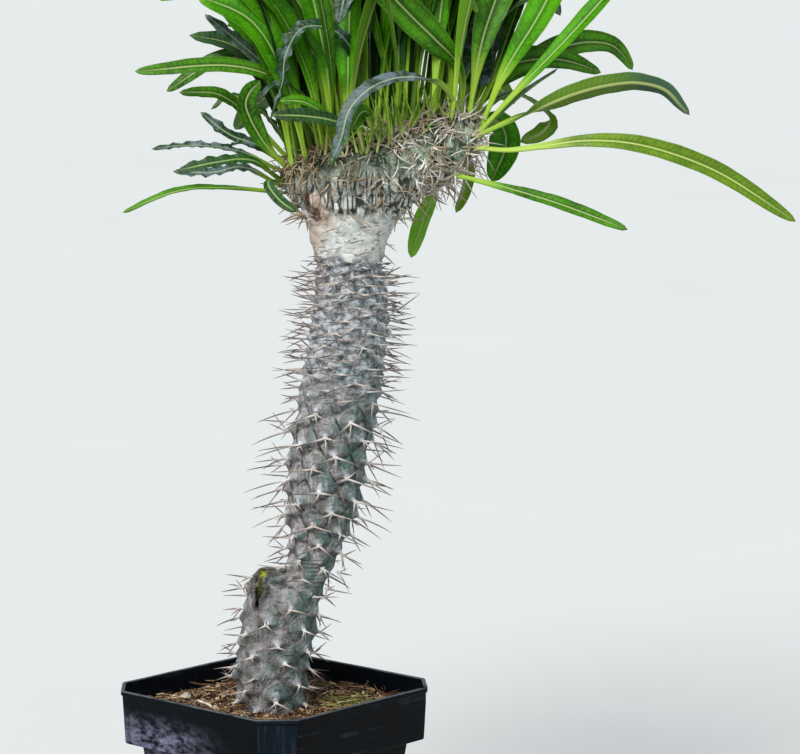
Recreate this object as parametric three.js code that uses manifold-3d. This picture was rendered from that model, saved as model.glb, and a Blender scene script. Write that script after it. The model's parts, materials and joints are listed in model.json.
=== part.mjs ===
// A Madagascar palm (Pachypodium lamerei) in its square nursery pot.
//
// Millimetres, +Z up. The origin is the middle of the pot's flat base. The pot stands with a
// corner towards -Y, the crown leans towards +X, and the front of the plant looks to -Y.
// The plant has four kinds of piece: the pot, the soil in it, the stem with its broad crest,
// and the leaves, which stand in the crest one by one. A few bark chips and stones lie on the soil.

import * as THREE from "three";
import { mergeVertices } from "three/addons/utils/BufferGeometryUtils.js";
import Module from "manifold-3d";

const wasm = await Module();
wasm.setup();

// ---------------------------------------------------------------- driving dimensions

const SEAT_GAP = 0.3; // air between two pieces that rest on each other

// Every pot section is a square with cut corners: `flat` is the distance from the axis to a side,
// `corner` the distance to a cut corner. The sides stand at 45 degrees, the corners on X and Y.
const POT = {
  height: 140,
  wall: 1.7,
  floor: 2.4,
  collarHeight: 33, // the straight band under the rim
  lipHeight: 3.2,
  lipStep: 0.7, // how far the lip stands out of the collar
  bend: 2.6, // radius of the outline's eight bends
  rim: { flat: 76, corner: 94.75 },
  collarFoot: { flat: 73.2, corner: 91.95 },
  bodyTop: { flat: 68, corner: 81.5 },
  base: { flat: 53, corner: 64 },
  baseBevel: 1.5,
};

const DRAIN = { cornerRadius: 6.5, cornerReach: 50, sideRadius: 4, sideReach: 40, sides: 16 };

const SOIL = { top: 127, ripple: 1.2, crumb: 0.7, socketGap: 0.55 };

// The stem's sections from the ground up: [x of the centre, z, radius].
const STUMP = [
  [-1, 106, 9],
  [-1.5, 111, 15.5],
  [-1.7, 118, 19],
  [-1.7, 126, 21],
  [-1.7, 137, 23.6],
  [-2, 155, 24.5],
  [1.5, 168, 24.6],
  [3, 181, 25.2],
  [4.8, 193, 25.3],
  [6.2, 202, 24.4],
  [2.5, 209, 18],
  [-5, 212.5, 10],
];
const STUMP_BOTTOM = [-1, 103.5];
const STUMP_TOP = [-8.5, 213.6];

// The younger stem that grew from the stump's shoulder, up to the neck below the crest.
const STEM = [
  [11, 192, 13],
  [17.5, 204, 15.4],
  [22.8, 216, 16],
  [26.8, 230, 18.5],
  [28.4, 243, 21.4],
  [29.5, 255, 24.3],
  [31, 268, 25.4],
  [33.5, 281, 25],
  [35.5, 293, 26],
  [37.5, 305, 26.2],
  [40.5, 317, 25.8],
  [41.8, 330, 25.5],
  [44.3, 342, 24.6],
  [45.8, 355, 24.5],
  [46.8, 367, 24.3],
  [47.5, 379, 23.3],
  [47.3, 391, 21.8],
  [46.8, 400, 20.4],
  [46.8, 409, 22.4],
  [46.6, 418, 24.4],
];
const STEM_START = [8, 186];

// The crest's sections: [x and z of the left edge, x and z of the right edge, half depth].
const CREST = [
  [20.5, 431, 79, 432, 27],
  [14, 437, 86, 439, 30],
  [8, 444, 98, 445, 32],
  [5, 451, 111, 454, 34],
  [5, 457, 120, 465, 34],
  [8, 462, 126, 477, 31],
  [17, 467, 125, 489, 26],
  [34, 472, 116, 495, 18],
];
const CREST_TOP = [75, 488];
const CREST_FULLNESS = 0.82;
const CROWN_AXIS = [66, 0];

const STEM_SIDES = 20;

// A wound where the old growing tip dried out: a pocket in the top of the stump.
const WOUND = { at: [-9, -18, 204], size: [6, 8, 11], lean: 0.25 };

// Leaf proportions along its length: [share of the length, share of the blade's width].
const BLADE = [
  [0.1, 0],
  [0.21, 0.12],
  [0.33, 0.48],
  [0.46, 0.82],
  [0.6, 1],
  [0.74, 0.95],
  [0.86, 0.74],
  [0.95, 0.42],
];
const PETIOLE = { width: 3, above: 1, below: 1.4, foot: 2.3, footScale: 0.75 };
const RIB = { above: 0.45, below: 0.95 };
const CHANNEL = 0.1; // how far a blade's edges stand above its midrib, as a share of its width

// Each leaf: its name, the blade's width, how far in degrees its upper face is turned to the
// front, and its path [x, y, z] from inside the crest through its bends to its tip.
const LEAVES = [
  ["leaf_left_low", 7, -10, [[2, 0, 445], [-22, -12, 448], [-56, -18, 447], [-90, -20, 434]]],
  ["leaf_left_tucked", 7, 60, [[8, -8, 452], [-3, -26, 452], [4, -34, 442], [14, -37, 435]]],
  ["leaf_left_rolled", 9, 20, [[4, 6, 449], [-18, 2, 460], [-36, -4, 457], [-60, -8, 458]]],
  ["leaf_left_folded", 9, 35, [[6, -4, 452], [-13, -14, 465], [-34, -20, 464], [-57, -22, 459]]],
  ["leaf_left_ribbon", 9, 15, [[6, 8, 457], [-19, 8, 469], [-47, 6, 473], [-73, 4, 471]]],
  ["leaf_left_short", 7, 10, [[8, 14, 461], [-6, 18, 470], [-17, 22, 474], [-27, 25, 472]]],
  ["leaf_left_crinkled", 9, 55, [[9, 2, 461], [-9, -10, 474], [-25, -14, 480], [-43, -16, 494]]],
  ["leaf_left_broad", 12, 75, [[11, -10, 458], [-6, -22, 477], [-16, -26, 501], [-7, -21, 513]]],
  ["leaf_left_mid", 9, 40, [[12, 10, 463], [-8, 12, 483], [-30, 10, 503], [-56, 6, 505]]],
  ["leaf_left_hook", 7, 20, [[15, 18, 465], [-6, 26, 493], [-24, 30, 502], [-37, 30, 494]]],
  ["leaf_left_long", 10, 62, [[20, -2, 466], [8, -8, 509], [-22, -12, 521], [-82, -14, 518]]],
  ["leaf_left_arch", 13, 35, [[22, 14, 469], [8, 22, 518], [-28, 26, 525], [-64, 28, 505]]],
  ["leaf_left_grey", 11, 50, [[26, 6, 465], [13, -2, 506], [-10, -6, 527], [-40, -8, 552]]],
  ["leaf_left_high", 9, 30, [[30, 18, 470], [18, 26, 530], [-5, 30, 548], [-27, 32, 545]]],
  ["leaf_top_left_bright", 16, 60, [[33, 0, 470], [28, -6, 524], [8, -14, 547], [-44, -28, 600]]],
  ["leaf_top_left_wide", 16, 50, [[39, 10, 471], [38, 8, 524], [20, 4, 553], [-18, -2, 622]]],
  ["leaf_curled_arch", 9, 25, [[47, -6, 473], [48, -14, 531], [30, -22, 545], [10, -26, 539], [8, -28, 518],
    [-1, -26, 490]]],
  ["leaf_small_blue", 9, 10, [[30, -8, 466], [20, -15, 501], [4, -19, 511], [-10, -21, 499]]],
  ["leaf_inner_bright", 11, 40, [[40, -12, 471], [32, -26, 491], [19, -32, 500], [4, -36, 501]]],
  ["leaf_inner_dark", 10, 70, [[48, -14, 471], [41, -34, 487], [22, -42, 492], [-1, -46, 493]]],
  ["leaf_front_arch", 11, 35, [[117, -6, 487], [100, -30, 511], [70, -44, 514], [47, -54, 500],
    [40, -58, 480], [33, -60, 463]]],
  ["leaf_front_short", 9, 60, [[60, -14, 471], [59, -32, 491], [53, -42, 495], [46, -50, 484]]],
  ["leaf_top_dark", 17, 55, [[115, -4, 487], [113, -14, 520], [88, -24, 546], [30, -42, 604]]],
  ["leaf_top_bent", 12, -60, [[114, 6, 484], [125, 9, 512], [124, 13, 536], [122, 25, 548]]],
  ["leaf_top_blue", 11, 25, [[116, 16, 484], [135, 34, 527], [126, 38, 551], [111, 35, 537]]],
  ["leaf_right_grey", 10, 45, [[119, 9, 484], [132, 16, 521], [144, 20, 556], [163, 24, 577], [178, 26, 551]]],
  ["leaf_right_narrow", 9, 50, [[121, 3, 484], [137, 10, 518], [147, 14, 546], [170, 16, 606]]],
  ["leaf_right_bright", 21, 65, [[126, -4, 482], [140, -10, 517], [158, -14, 547], [198, -20, 626]]],
  ["leaf_right_slim", 12, 55, [[125, -8, 481], [149, -16, 508], [180, -22, 541], [232, -28, 600]]],
  ["leaf_right_edge", 8, 0, [[126, 4, 480], [143, 10, 495], [160, 16, 508], [176, 20, 519]]],
  ["leaf_right_dark", 16, 60, [[124, 16, 493], [147, 30, 520], [179, 36, 524], [205, 38, 516]]],
  ["leaf_right_behind", 13, 25, [[122, 24, 494], [155, 46, 518], [193, 60, 534], [218, 66, 531], [229, 70, 517]]],
  ["leaf_right_long", 12, 45, [[121, -14, 478], [148, -22, 491], [197, -26, 509], [232, -28, 509],
    [250, -30, 492]]],
  ["leaf_right_hook", 13, 20, [[122, 20, 486], [151, 38, 503], [175, 44, 484], [155, 40, 473]]],
  ["leaf_right_great", 14, 45, [[117, -12, 473], [140, -22, 471], [202, -34, 477], [258, -42, 462],
    [312, -48, 429]]],
  ["leaf_right_hanging", 19, -90, [[115, 22, 481], [141, 38, 485], [147, 46, 473], [138, 48, 448]]],
  ["leaf_right_low", 9, 45, [[101, -16, 458], [123, -26, 453], [166, -34, 441], [212, -40, 424]]],
  ["leaf_hanging_mid", 11, -70, [[107, 20, 463], [122, 36, 465], [121, 42, 446], [115, 42, 429]]],
  ["leaf_hanging_left", 13, -70, [[94, 20, 450], [102, 38, 445], [95, 42, 425], [87, 42, 401]]],
  ["leaf_up_a", 12, 40, [[17, 6, 464], [22, 10, 497], [18, 12, 527], [-6, 16, 592]]],
  ["leaf_up_b", 13, 50, [[35, -8, 469], [36, -17, 507], [33, -38, 534], [20, -62, 600]]],
  ["leaf_up_c", 15, 50, [[55, -2, 473], [53, -4, 513], [53, -10, 556], [47, -24, 572], [39, -36, 546]]],
  ["leaf_up_d", 15, 20, [[59, 12, 475], [60, 22, 512], [56, 38, 549], [42, 72, 630]]],
  ["leaf_up_e", 16, 50, [[68, 0, 478], [69, -4, 516], [62, -6, 549], [44, 8, 645]]],
  ["leaf_up_f", 13, 60, [[75, -10, 480], [75, -22, 513], [72, -34, 540], [60, -74, 606]]],
  ["leaf_up_g", 16, 10, [[81, 10, 482], [81, 16, 518], [84, 30, 555], [80, 64, 645]]],
  ["leaf_up_h", 15, 60, [[88, -6, 485], [88, -7, 516], [92, -5, 543], [97, -14, 650]]],
  ["leaf_up_i", 15, 40, [[97, 4, 487], [98, 6, 521], [106, 6, 555], [126, 4, 645]]],
  ["leaf_up_j", 13, 45, [[108, -2, 488], [108, -6, 519], [104, -9, 556], [112, -12, 576], [124, -14, 552]]],
  ["leaf_up_k", 15, 30, [[108, 15, 488], [106, 33, 524], [113, 58, 561], [128, 98, 606]]],
  ["leaf_back_left", 15, 0, [[32, 18, 462], [20, 44, 494], [0, 84, 502], [-22, 124, 478]]],
  ["leaf_back_mid", 16, 0, [[66, 20, 470], [64, 50, 506], [60, 96, 516], [58, 146, 490]]],
  ["leaf_back_right", 15, 0, [[102, 20, 476], [112, 50, 508], [134, 90, 516], [160, 130, 494]]],
];

// What lies on the soil: its name, kind, place [x, y], size [x, y, z] and heading in degrees.
const LITTER = [
  ["bark_chip_back", "bark", [-24, 44], [13, 7, 4.5], 28],
  ["bark_chip_right", "bark", [47, 18], [15, 6, 4], -35],
  ["pumice_large", "stone", [-55, 14], [8, 7, 5.5], 10],
  ["pumice_small", "stone", [-37, -18], [5.5, 5, 4.5], 60],
];

// ---------------------------------------------------------------- materials

function finish(color, roughness) {
  return new THREE.MeshStandardMaterial({ color, roughness, metalness: 0 });
}

const FINISHES = {
  pot: () => finish(0x1b1f26, 0.45),
  soil: () => finish(0x55483a, 0.95),
  stem: () => finish(0x9ea09b, 0.75),
  leaf: () => finish(0x4f8a1e, 0.4),
  bark: () => finish(0x5a3c28, 0.85),
  stone: () => finish(0xb9ae98, 0.9),
};

const plant = new THREE.Group();

function addPiece(name, geometry, finishName) {
  const mesh = new THREE.Mesh(geometry, FINISHES[finishName]());
  mesh.name = name;
  plant.add(mesh);
  return mesh;
}

// ---------------------------------------------------------------- solids

// Closes a stack of rings of equal length with a pole at each end.
function loftSolid(startPole, rings, endPole) {
  const count = rings[0].length;
  const points = [startPole, ...rings.flat(), endPole];
  const last = points.length - 1;
  const index = [];
  const ringPoint = (ring, i) => 1 + ring * count + (i % count);
  for (let i = 0; i < count; i += 1) {
    index.push(0, ringPoint(0, i + 1), ringPoint(0, i));
    index.push(last, ringPoint(rings.length - 1, i), ringPoint(rings.length - 1, i + 1));
    for (let ring = 0; ring + 1 < rings.length; ring += 1) {
      const a = ringPoint(ring, i);
      const b = ringPoint(ring, i + 1);
      const c = ringPoint(ring + 1, i + 1);
      const d = ringPoint(ring + 1, i);
      index.push(a, b, c, a, c, d);
    }
  }
  const geometry = new THREE.BufferGeometry().setFromPoints(points);
  geometry.setIndex(facesOut(points, index));
  geometry.computeVertexNormals();
  return geometry;
}

// Turns every triangle round when the body's signed volume says that they point in.
function facesOut(points, index) {
  const edge = new THREE.Vector3();
  let volume = 0;
  for (let i = 0; i < index.length; i += 3) {
    edge.crossVectors(points[index[i + 1]], points[index[i + 2]]);
    volume += points[index[i]].dot(edge);
  }
  return volume < 0 ? index.reverse() : index;
}

function toManifold(geometry) {
  const bare = geometry.clone();
  bare.deleteAttribute("normal");
  bare.deleteAttribute("uv");
  const merged = mergeVertices(bare, 1e-4);
  return new wasm.Manifold(new wasm.Mesh({
    numProp: 3,
    vertProperties: new Float32Array(merged.attributes.position.array),
    triVerts: new Uint32Array(merged.index.array),
  }));
}

function toGeometry(solid) {
  const mesh = solid.getMesh();
  const geometry = new THREE.BufferGeometry();
  geometry.setAttribute("position", new THREE.BufferAttribute(new Float32Array(mesh.vertProperties), 3));
  geometry.setIndex(new THREE.BufferAttribute(new Uint32Array(mesh.triVerts), 1));
  geometry.computeVertexNormals();
  return geometry;
}

// ---------------------------------------------------------------- pot

// One level of the pot: eight bends round a square with cut corners, with points along each side.
function potOutline(flat, corner, z, bend = POT.bend, sidePoints = 3) {
  const half = flat * Math.SQRT2 - corner; // half the width of a cut corner's face
  const turn = Math.PI / 4;
  const setBack = bend * Math.tan(turn / 2);
  const points = [];
  for (let side = 0; side < 4; side += 1) {
    const heading = (side * Math.PI) / 2;
    const out = new THREE.Vector2(Math.cos(heading), Math.sin(heading));
    const along = new THREE.Vector2(-out.y, out.x);
    const place = (radial, across) => new THREE.Vector3(
      out.x * radial + along.x * across,
      out.y * radial + along.y * across,
      z,
    );
    const bendAt = (sign) => {
      const centre = [corner - bend, sign * (half - setBack)];
      return [0, turn / 2, turn].map((angle) => place(
        centre[0] + bend * Math.cos(angle),
        centre[1] + sign * bend * Math.sin(angle),
      ));
    };
    points.push(...bendAt(-1).reverse(), ...bendAt(1));
  }
  return withSidePoints(points, sidePoints);
}

// Adds evenly spaced points on the four long sides, each from one corner's last point to the next.
function withSidePoints(corners, sidePoints) {
  const perCorner = corners.length / 4;
  const points = [];
  corners.forEach((point, i) => {
    points.push(point);
    if (i % perCorner === perCorner - 1) {
      const next = corners[(i + 1) % corners.length];
      for (let k = 1; k <= sidePoints; k += 1) {
        points.push(point.clone().lerp(next, k / (sidePoints + 1)));
      }
    }
  });
  return points;
}

const SHOULDER = POT.height - POT.collarHeight;

// The body's section at height z, between the base and the shoulder.
function bodySection(z) {
  const share = z / SHOULDER;
  return {
    flat: THREE.MathUtils.lerp(POT.base.flat, POT.bodyTop.flat, share),
    corner: THREE.MathUtils.lerp(POT.base.corner, POT.bodyTop.corner, share),
  };
}

function collarSection(z) {
  const share = (z - SHOULDER) / POT.collarHeight;
  return {
    flat: THREE.MathUtils.lerp(POT.collarFoot.flat, POT.rim.flat - POT.lipStep, share),
    corner: THREE.MathUtils.lerp(POT.collarFoot.corner, POT.rim.corner - POT.lipStep, share),
  };
}

function level(section, z, inset = 0) {
  return potOutline(section.flat - inset, section.corner - inset, z);
}

function potSolid() {
  const lipFoot = POT.height - POT.lipHeight;
  const lipEdge = 0.6;
  const outer = [
    level(POT.base, 0, POT.baseBevel),
    level(bodySection(POT.baseBevel), POT.baseBevel),
    level(bodySection(SHOULDER - POT.wall), SHOULDER - POT.wall),
    level(POT.collarFoot, SHOULDER),
    level(collarSection(lipFoot), lipFoot),
    level(POT.rim, lipFoot + lipEdge),
    level(POT.rim, POT.height - lipEdge),
    level(POT.rim, POT.height, lipEdge),
  ];
  const inner = [
    level(collarSection(POT.height), POT.height, POT.wall),
    level(collarSection(SHOULDER + POT.wall), SHOULDER + POT.wall, POT.wall),
    level(bodySection(SHOULDER), SHOULDER, POT.wall),
    level(bodySection(POT.floor), POT.floor, POT.wall),
  ];
  const shell = loftSolid(
    new THREE.Vector3(0, 0, 0),
    [...outer, ...inner],
    new THREE.Vector3(0, 0, POT.floor),
  );
  return drainHoles().reduce((pot, hole) => pot.subtract(hole), toManifold(shell));
}

function drainHoles() {
  const holes = [];
  const hole = (radius, reach, heading) => {
    const depth = 4 * POT.floor;
    const cutter = new THREE.CylinderGeometry(radius, radius, depth, DRAIN.sides);
    cutter.rotateX(Math.PI / 2);
    cutter.translate(reach * Math.cos(heading), reach * Math.sin(heading), 0);
    holes.push(toManifold(cutter));
  };
  for (let k = 0; k < 4; k += 1) {
    hole(DRAIN.cornerRadius, DRAIN.cornerReach, (k * Math.PI) / 2);
    hole(DRAIN.sideRadius, DRAIN.sideReach, ((k + 0.5) * Math.PI) / 2);
  }
  return holes;
}

// ---------------------------------------------------------------- stem

function roundRing([x, z, radius], grow = 0) {
  const ring = [];
  for (let i = 0; i < STEM_SIDES; i += 1) {
    const angle = (i / STEM_SIDES) * 2 * Math.PI;
    ring.push(new THREE.Vector3(
      x + (radius + grow) * Math.cos(angle),
      (radius + grow) * Math.sin(angle),
      z,
    ));
  }
  return ring;
}

// An oval with full ends: `CREST_FULLNESS` under 1 swells an ellipse towards a rectangle.
function crestRing([leftX, leftZ, rightX, rightZ, depth]) {
  const swell = (value) => Math.sign(value) * Math.abs(value) ** CREST_FULLNESS;
  const ring = [];
  for (let i = 0; i < STEM_SIDES; i += 1) {
    const angle = (i / STEM_SIDES) * 2 * Math.PI;
    const share = 0.5 + 0.5 * swell(Math.cos(angle));
    ring.push(new THREE.Vector3(
      THREE.MathUtils.lerp(leftX, rightX, share),
      depth * swell(Math.sin(angle)),
      THREE.MathUtils.lerp(leftZ, rightZ, share),
    ));
  }
  return ring;
}

function stumpSolid(grow = 0) {
  return toManifold(loftSolid(
    new THREE.Vector3(STUMP_BOTTOM[0], 0, STUMP_BOTTOM[1] - grow),
    STUMP.map((section) => roundRing(section, grow)),
    new THREE.Vector3(STUMP_TOP[0], 0, STUMP_TOP[1]),
  ));
}

function stemSolid() {
  const upper = loftSolid(
    new THREE.Vector3(STEM_START[0], 0, STEM_START[1]),
    [...STEM.map((section) => roundRing(section)), ...CREST.map(crestRing)],
    new THREE.Vector3(CREST_TOP[0], 0, CREST_TOP[1]),
  );
  return stumpSolid().add(toManifold(upper)).subtract(woundPocket());
}

function woundPocket() {
  const pocket = new THREE.SphereGeometry(1, 10, 8);
  pocket.scale(...WOUND.size);
  pocket.rotateY(WOUND.lean);
  pocket.translate(...WOUND.at);
  return toManifold(pocket);
}

// ---------------------------------------------------------------- soil and what lies on it

function soilHeight(x, y) {
  const ripple = Math.sin(x / 13 + 1.1) * Math.cos(y / 11 - 0.4);
  const crumb = Math.sin(x / 4.3 - y / 5.1) * Math.sin(y / 3.7 + x / 9.2);
  return SOIL.top + SOIL.ripple * ripple + SOIL.crumb * crumb;
}

function soilSolid() {
  const gap = POT.wall + SEAT_GAP;
  const bed = POT.floor + SEAT_GAP;
  const wallTop = level(collarSection(SOIL.top), SOIL.top, gap);
  const ledge = 2 * SEAT_GAP; // height above the shoulder's slope
  const step = SHOULDER + POT.wall + ledge;
  const shrink = (share) => wallTop.map((point) => {
    const x = point.x * share;
    const y = point.y * share;
    return new THREE.Vector3(x, y, soilHeight(x, y));
  });
  const rings = [
    level(bodySection(bed), bed, gap),
    level(bodySection(SHOULDER), SHOULDER + ledge, gap),
    level(collarSection(step), step, gap),
    wallTop.map((point) => new THREE.Vector3(point.x, point.y, soilHeight(point.x, point.y))),
    ...[0.86, 0.72, 0.58, 0.45, 0.32, 0.18].map(shrink),
  ];
  const whole = loftSolid(
    new THREE.Vector3(0, 0, bed),
    rings,
    new THREE.Vector3(0, 0, SOIL.top),
  );
  return toManifold(whole).subtract(stumpSolid(SOIL.socketGap));
}

// A lump with flattened, broken sides: coarse for a stone, flat and long for bark.
function lumpGeometry(kind, size, seed) {
  const lump = mergeVertices(stripped(new THREE.IcosahedronGeometry(1, kind === "bark" ? 0 : 1)), 1e-4);
  const position = lump.attributes.position;
  for (let i = 0; i < position.count; i += 1) {
    const wobble = 0.86 + 0.14 * Math.sin(12.9 * i + seed);
    position.setXYZ(
      i,
      (position.getX(i) * wobble * size[0]) / 2,
      (position.getY(i) * wobble * size[1]) / 2,
      (position.getZ(i) * wobble * size[2]) / 2,
    );
  }
  return lump;
}

function stripped(geometry) {
  geometry.deleteAttribute("normal");
  geometry.deleteAttribute("uv");
  return geometry;
}

// Lowers a piece until its lowest-lying corner is one seat gap above the soil under it.
function restOnSoil(geometry, soilMesh) {
  const down = new THREE.Vector3(0, 0, -1);
  const ray = new THREE.Raycaster();
  const corner = new THREE.Vector3();
  const position = geometry.attributes.position;
  let drop = Infinity;
  for (let i = 0; i < position.count; i += 1) {
    corner.fromBufferAttribute(position, i);
    ray.set(new THREE.Vector3(corner.x, corner.y, POT.height), down);
    const ground = ray.intersectObject(soilMesh)[0].point.z;
    drop = Math.min(drop, corner.z - ground);
  }
  geometry.translate(0, 0, SEAT_GAP - drop);
}

// ---------------------------------------------------------------- leaves

// The point where a leaf leaves the crest, one seat gap clear of the skin.
function leafRoot(path, stemMesh) {
  const inside = new THREE.Vector3(...path[0]);
  const outside = new THREE.Vector3(...path[1]);
  const inward = inside.clone().sub(outside).normalize();
  const ray = new THREE.Raycaster(outside, inward);
  const [hit] = ray.intersectObject(stemMesh);
  const slope = Math.max(0.4, -hit.face.normal.dot(inward));
  return hit.point.clone().addScaledVector(inward, -(SEAT_GAP + 0.05) / slope);
}

function leafSection(share, width) {
  const petiole = { width: PETIOLE.width, above: PETIOLE.above, below: PETIOLE.below, lift: 0 };
  const blade = { width, above: RIB.above, below: RIB.below, lift: CHANNEL * width };
  const mix = (key) => THREE.MathUtils.lerp(petiole[key], blade[key], share);
  return { width: mix("width"), above: mix("above"), below: mix("below"), lift: mix("lift") };
}

// Four points round the midrib: an edge, the channel's floor, the other edge and the keel.
function leafRing(centre, across, upper, section, scale = 1) {
  const place = (side, height) => centre.clone()
    .addScaledVector(across, side * scale)
    .addScaledVector(upper, height * scale);
  return [
    place(-section.width / 2, section.lift),
    place(0, section.above),
    place(section.width / 2, section.lift),
    place(0, -section.below),
  ];
}

// The upper face's direction along the leaf: it looks up and in at the foot, follows the bends
// without twisting, and is then turned to the front by `turn` degrees.
function upperFaces(curve, shares, turn) {
  const tangents = shares.map((share) => curve.getTangentAt(share));
  const root = curve.getPointAt(0);
  const skyShare = 0.6;
  const upper = new THREE.Vector3(CROWN_AXIS[0] - root.x, CROWN_AXIS[1] - root.y, 0).normalize();
  upper.z = skyShare;
  const free = tangents.map((tangent) => {
    upper.addScaledVector(tangent, -upper.dot(tangent)).normalize();
    return upper.clone();
  });
  const middle = Math.floor(shares.length / 2);
  const side = new THREE.Vector3().crossVectors(tangents[middle], free[middle]);
  const angle = THREE.MathUtils.degToRad(turn) * (side.y < 0 ? 1 : -1);
  return free.map((normal, i) => {
    const across = new THREE.Vector3().crossVectors(tangents[i], normal);
    return normal.clone().multiplyScalar(Math.cos(angle)).addScaledVector(across, Math.sin(angle));
  });
}

function leafSolid(width, turn, path, stemMesh) {
  const root = leafRoot(path, stemMesh);
  const points = [root, ...path.slice(1).map((point) => new THREE.Vector3(...point))];
  const curve = new THREE.CatmullRomCurve3(points, false, "centripetal");
  const length = curve.getLength();
  const shares = [PETIOLE.foot / length, ...BLADE.map(([share]) => share)];
  const uppers = upperFaces(curve, shares, turn);
  const rings = shares.map((share, i) => {
    const across = new THREE.Vector3().crossVectors(curve.getTangentAt(share), uppers[i]);
    const section = i === 0 ? leafSection(0, width) : leafSection(BLADE[i - 1][1], width);
    const scale = i === 0 ? PETIOLE.footScale : 1;
    return leafRing(curve.getPointAt(share), across, uppers[i], section, scale);
  });
  return loftSolid(root, rings, curve.getPointAt(1));
}

// ---------------------------------------------------------------- the plant

addPiece("pot", toGeometry(potSolid()), "pot");
const soilMesh = addPiece("soil", toGeometry(soilSolid()), "soil");
const stemMesh = addPiece("stem", toGeometry(stemSolid()), "stem");

LITTER.forEach(([name, kind, [x, y], size, heading], i) => {
  const lump = lumpGeometry(kind, size, i);
  lump.rotateZ(THREE.MathUtils.degToRad(heading));
  lump.translate(x, y, SOIL.top);
  restOnSoil(lump, soilMesh);
  addPiece(name, lump, kind);
});

LEAVES.forEach(([name, width, turn, path]) => {
  addPiece(name, leafSolid(width, turn, path, stemMesh), "leaf");
});

export default plant;
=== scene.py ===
"""Looks of a Madagascar palm (Pachypodium lamerei) in its square nursery pot.

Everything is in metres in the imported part's own frame: +Z up, the middle of the pot's base at the
origin, the front of the plant towards -Y. Each sub-assembly is a class that holds its own sizes,
and main() builds them in order: studio, pot, potting mix, stem, spines, leaves.
"""

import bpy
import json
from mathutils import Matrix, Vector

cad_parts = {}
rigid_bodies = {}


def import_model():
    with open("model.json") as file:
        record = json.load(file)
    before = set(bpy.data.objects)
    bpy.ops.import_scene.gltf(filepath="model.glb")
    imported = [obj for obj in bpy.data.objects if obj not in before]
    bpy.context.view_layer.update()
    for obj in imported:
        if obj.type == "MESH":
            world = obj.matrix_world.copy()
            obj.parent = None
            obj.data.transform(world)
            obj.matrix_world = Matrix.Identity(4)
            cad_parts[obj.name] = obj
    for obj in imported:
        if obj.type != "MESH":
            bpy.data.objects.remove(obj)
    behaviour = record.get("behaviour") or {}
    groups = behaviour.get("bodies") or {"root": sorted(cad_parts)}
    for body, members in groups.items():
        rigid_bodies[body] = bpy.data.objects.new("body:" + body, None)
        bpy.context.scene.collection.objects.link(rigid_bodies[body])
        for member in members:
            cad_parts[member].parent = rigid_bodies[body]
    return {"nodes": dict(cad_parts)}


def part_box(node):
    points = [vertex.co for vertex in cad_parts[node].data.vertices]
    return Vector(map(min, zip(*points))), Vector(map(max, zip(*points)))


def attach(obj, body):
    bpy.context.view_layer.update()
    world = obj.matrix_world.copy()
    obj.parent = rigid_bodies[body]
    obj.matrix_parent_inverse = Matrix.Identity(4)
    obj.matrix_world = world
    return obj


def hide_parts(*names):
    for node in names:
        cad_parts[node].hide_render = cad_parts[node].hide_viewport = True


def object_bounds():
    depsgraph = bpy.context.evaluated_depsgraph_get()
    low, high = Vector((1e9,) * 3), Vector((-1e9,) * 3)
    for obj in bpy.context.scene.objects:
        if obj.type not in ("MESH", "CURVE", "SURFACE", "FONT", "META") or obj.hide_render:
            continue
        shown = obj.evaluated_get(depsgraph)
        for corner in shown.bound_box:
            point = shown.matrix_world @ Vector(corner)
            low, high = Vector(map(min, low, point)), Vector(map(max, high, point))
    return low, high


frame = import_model()
CAD_BOX = [list(corner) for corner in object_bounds()]

import json
import logging
import math
from dataclasses import dataclass, field
from enum import Enum
from functools import reduce
from typing import Any, Iterable, Sequence

import bmesh
import bpy
import numpy as np
from mathutils import Matrix, Vector, noise
from mathutils.bvhtree import BVHTree
from mathutils.kdtree import KDTree

LOG = logging.getLogger("palm")
BODY = "root"
MM = 0.001
UP = np.array([0.0, 0.0, 1.0])
ROUND = 2 * math.pi
GOLDEN_TURN = math.radians(137.508)

Colour = tuple[float, float, float, float]
Pair = tuple[float, float]
Point = Sequence[float]
Array = np.ndarray
Random = np.random.Generator
Mesh = bpy.types.Mesh
Thing = bpy.types.Object
Material = bpy.types.Material
Socket = bpy.types.NodeSocket


# ------ numbers and colours


def tint(red: float, green: float, blue: float) -> Colour:
    """The linear colour of an sRGB one, whose channels go from 0 to 255."""
    shares = (value / 255 for value in (red, green, blue))
    return (*(s / 12.92 if s <= 0.04045 else ((s + 0.055) / 1.055) ** 2.4 for s in shares), 1.0)


def unit(vectors: Array) -> Array:
    """Vectors scaled to length one."""
    length = np.linalg.norm(vectors, axis=-1, keepdims=True)
    return vectors / np.maximum(length, 1e-12)


def smooth_step(value: Array | float, low: float, high: float) -> Array | float:
    """0 below `low`, 1 above `high` and a smooth rise between them."""
    share = np.clip((value - low) / (high - low), 0.0, 1.0)
    return share * share * (3 - 2 * share)


def smoothed(values: Array, passes: int) -> Array:
    """Values evened out with their neighbours, the two ends held.

    Args:
        values: One row for each place along a line.
        passes: How many times each row is averaged with its neighbours.

    Returns:
        The evened rows.
    """
    result = values.copy()
    for _ in range(passes):
        result[1:-1] = 0.25 * result[:-2] + 0.5 * result[1:-1] + 0.25 * result[2:]
    return result


def run_of(points: Array) -> Array:
    """How far along a line each of its points lies."""
    return np.concatenate([[0.0], np.cumsum(np.linalg.norm(np.diff(points, axis=0), axis=1))])


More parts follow.
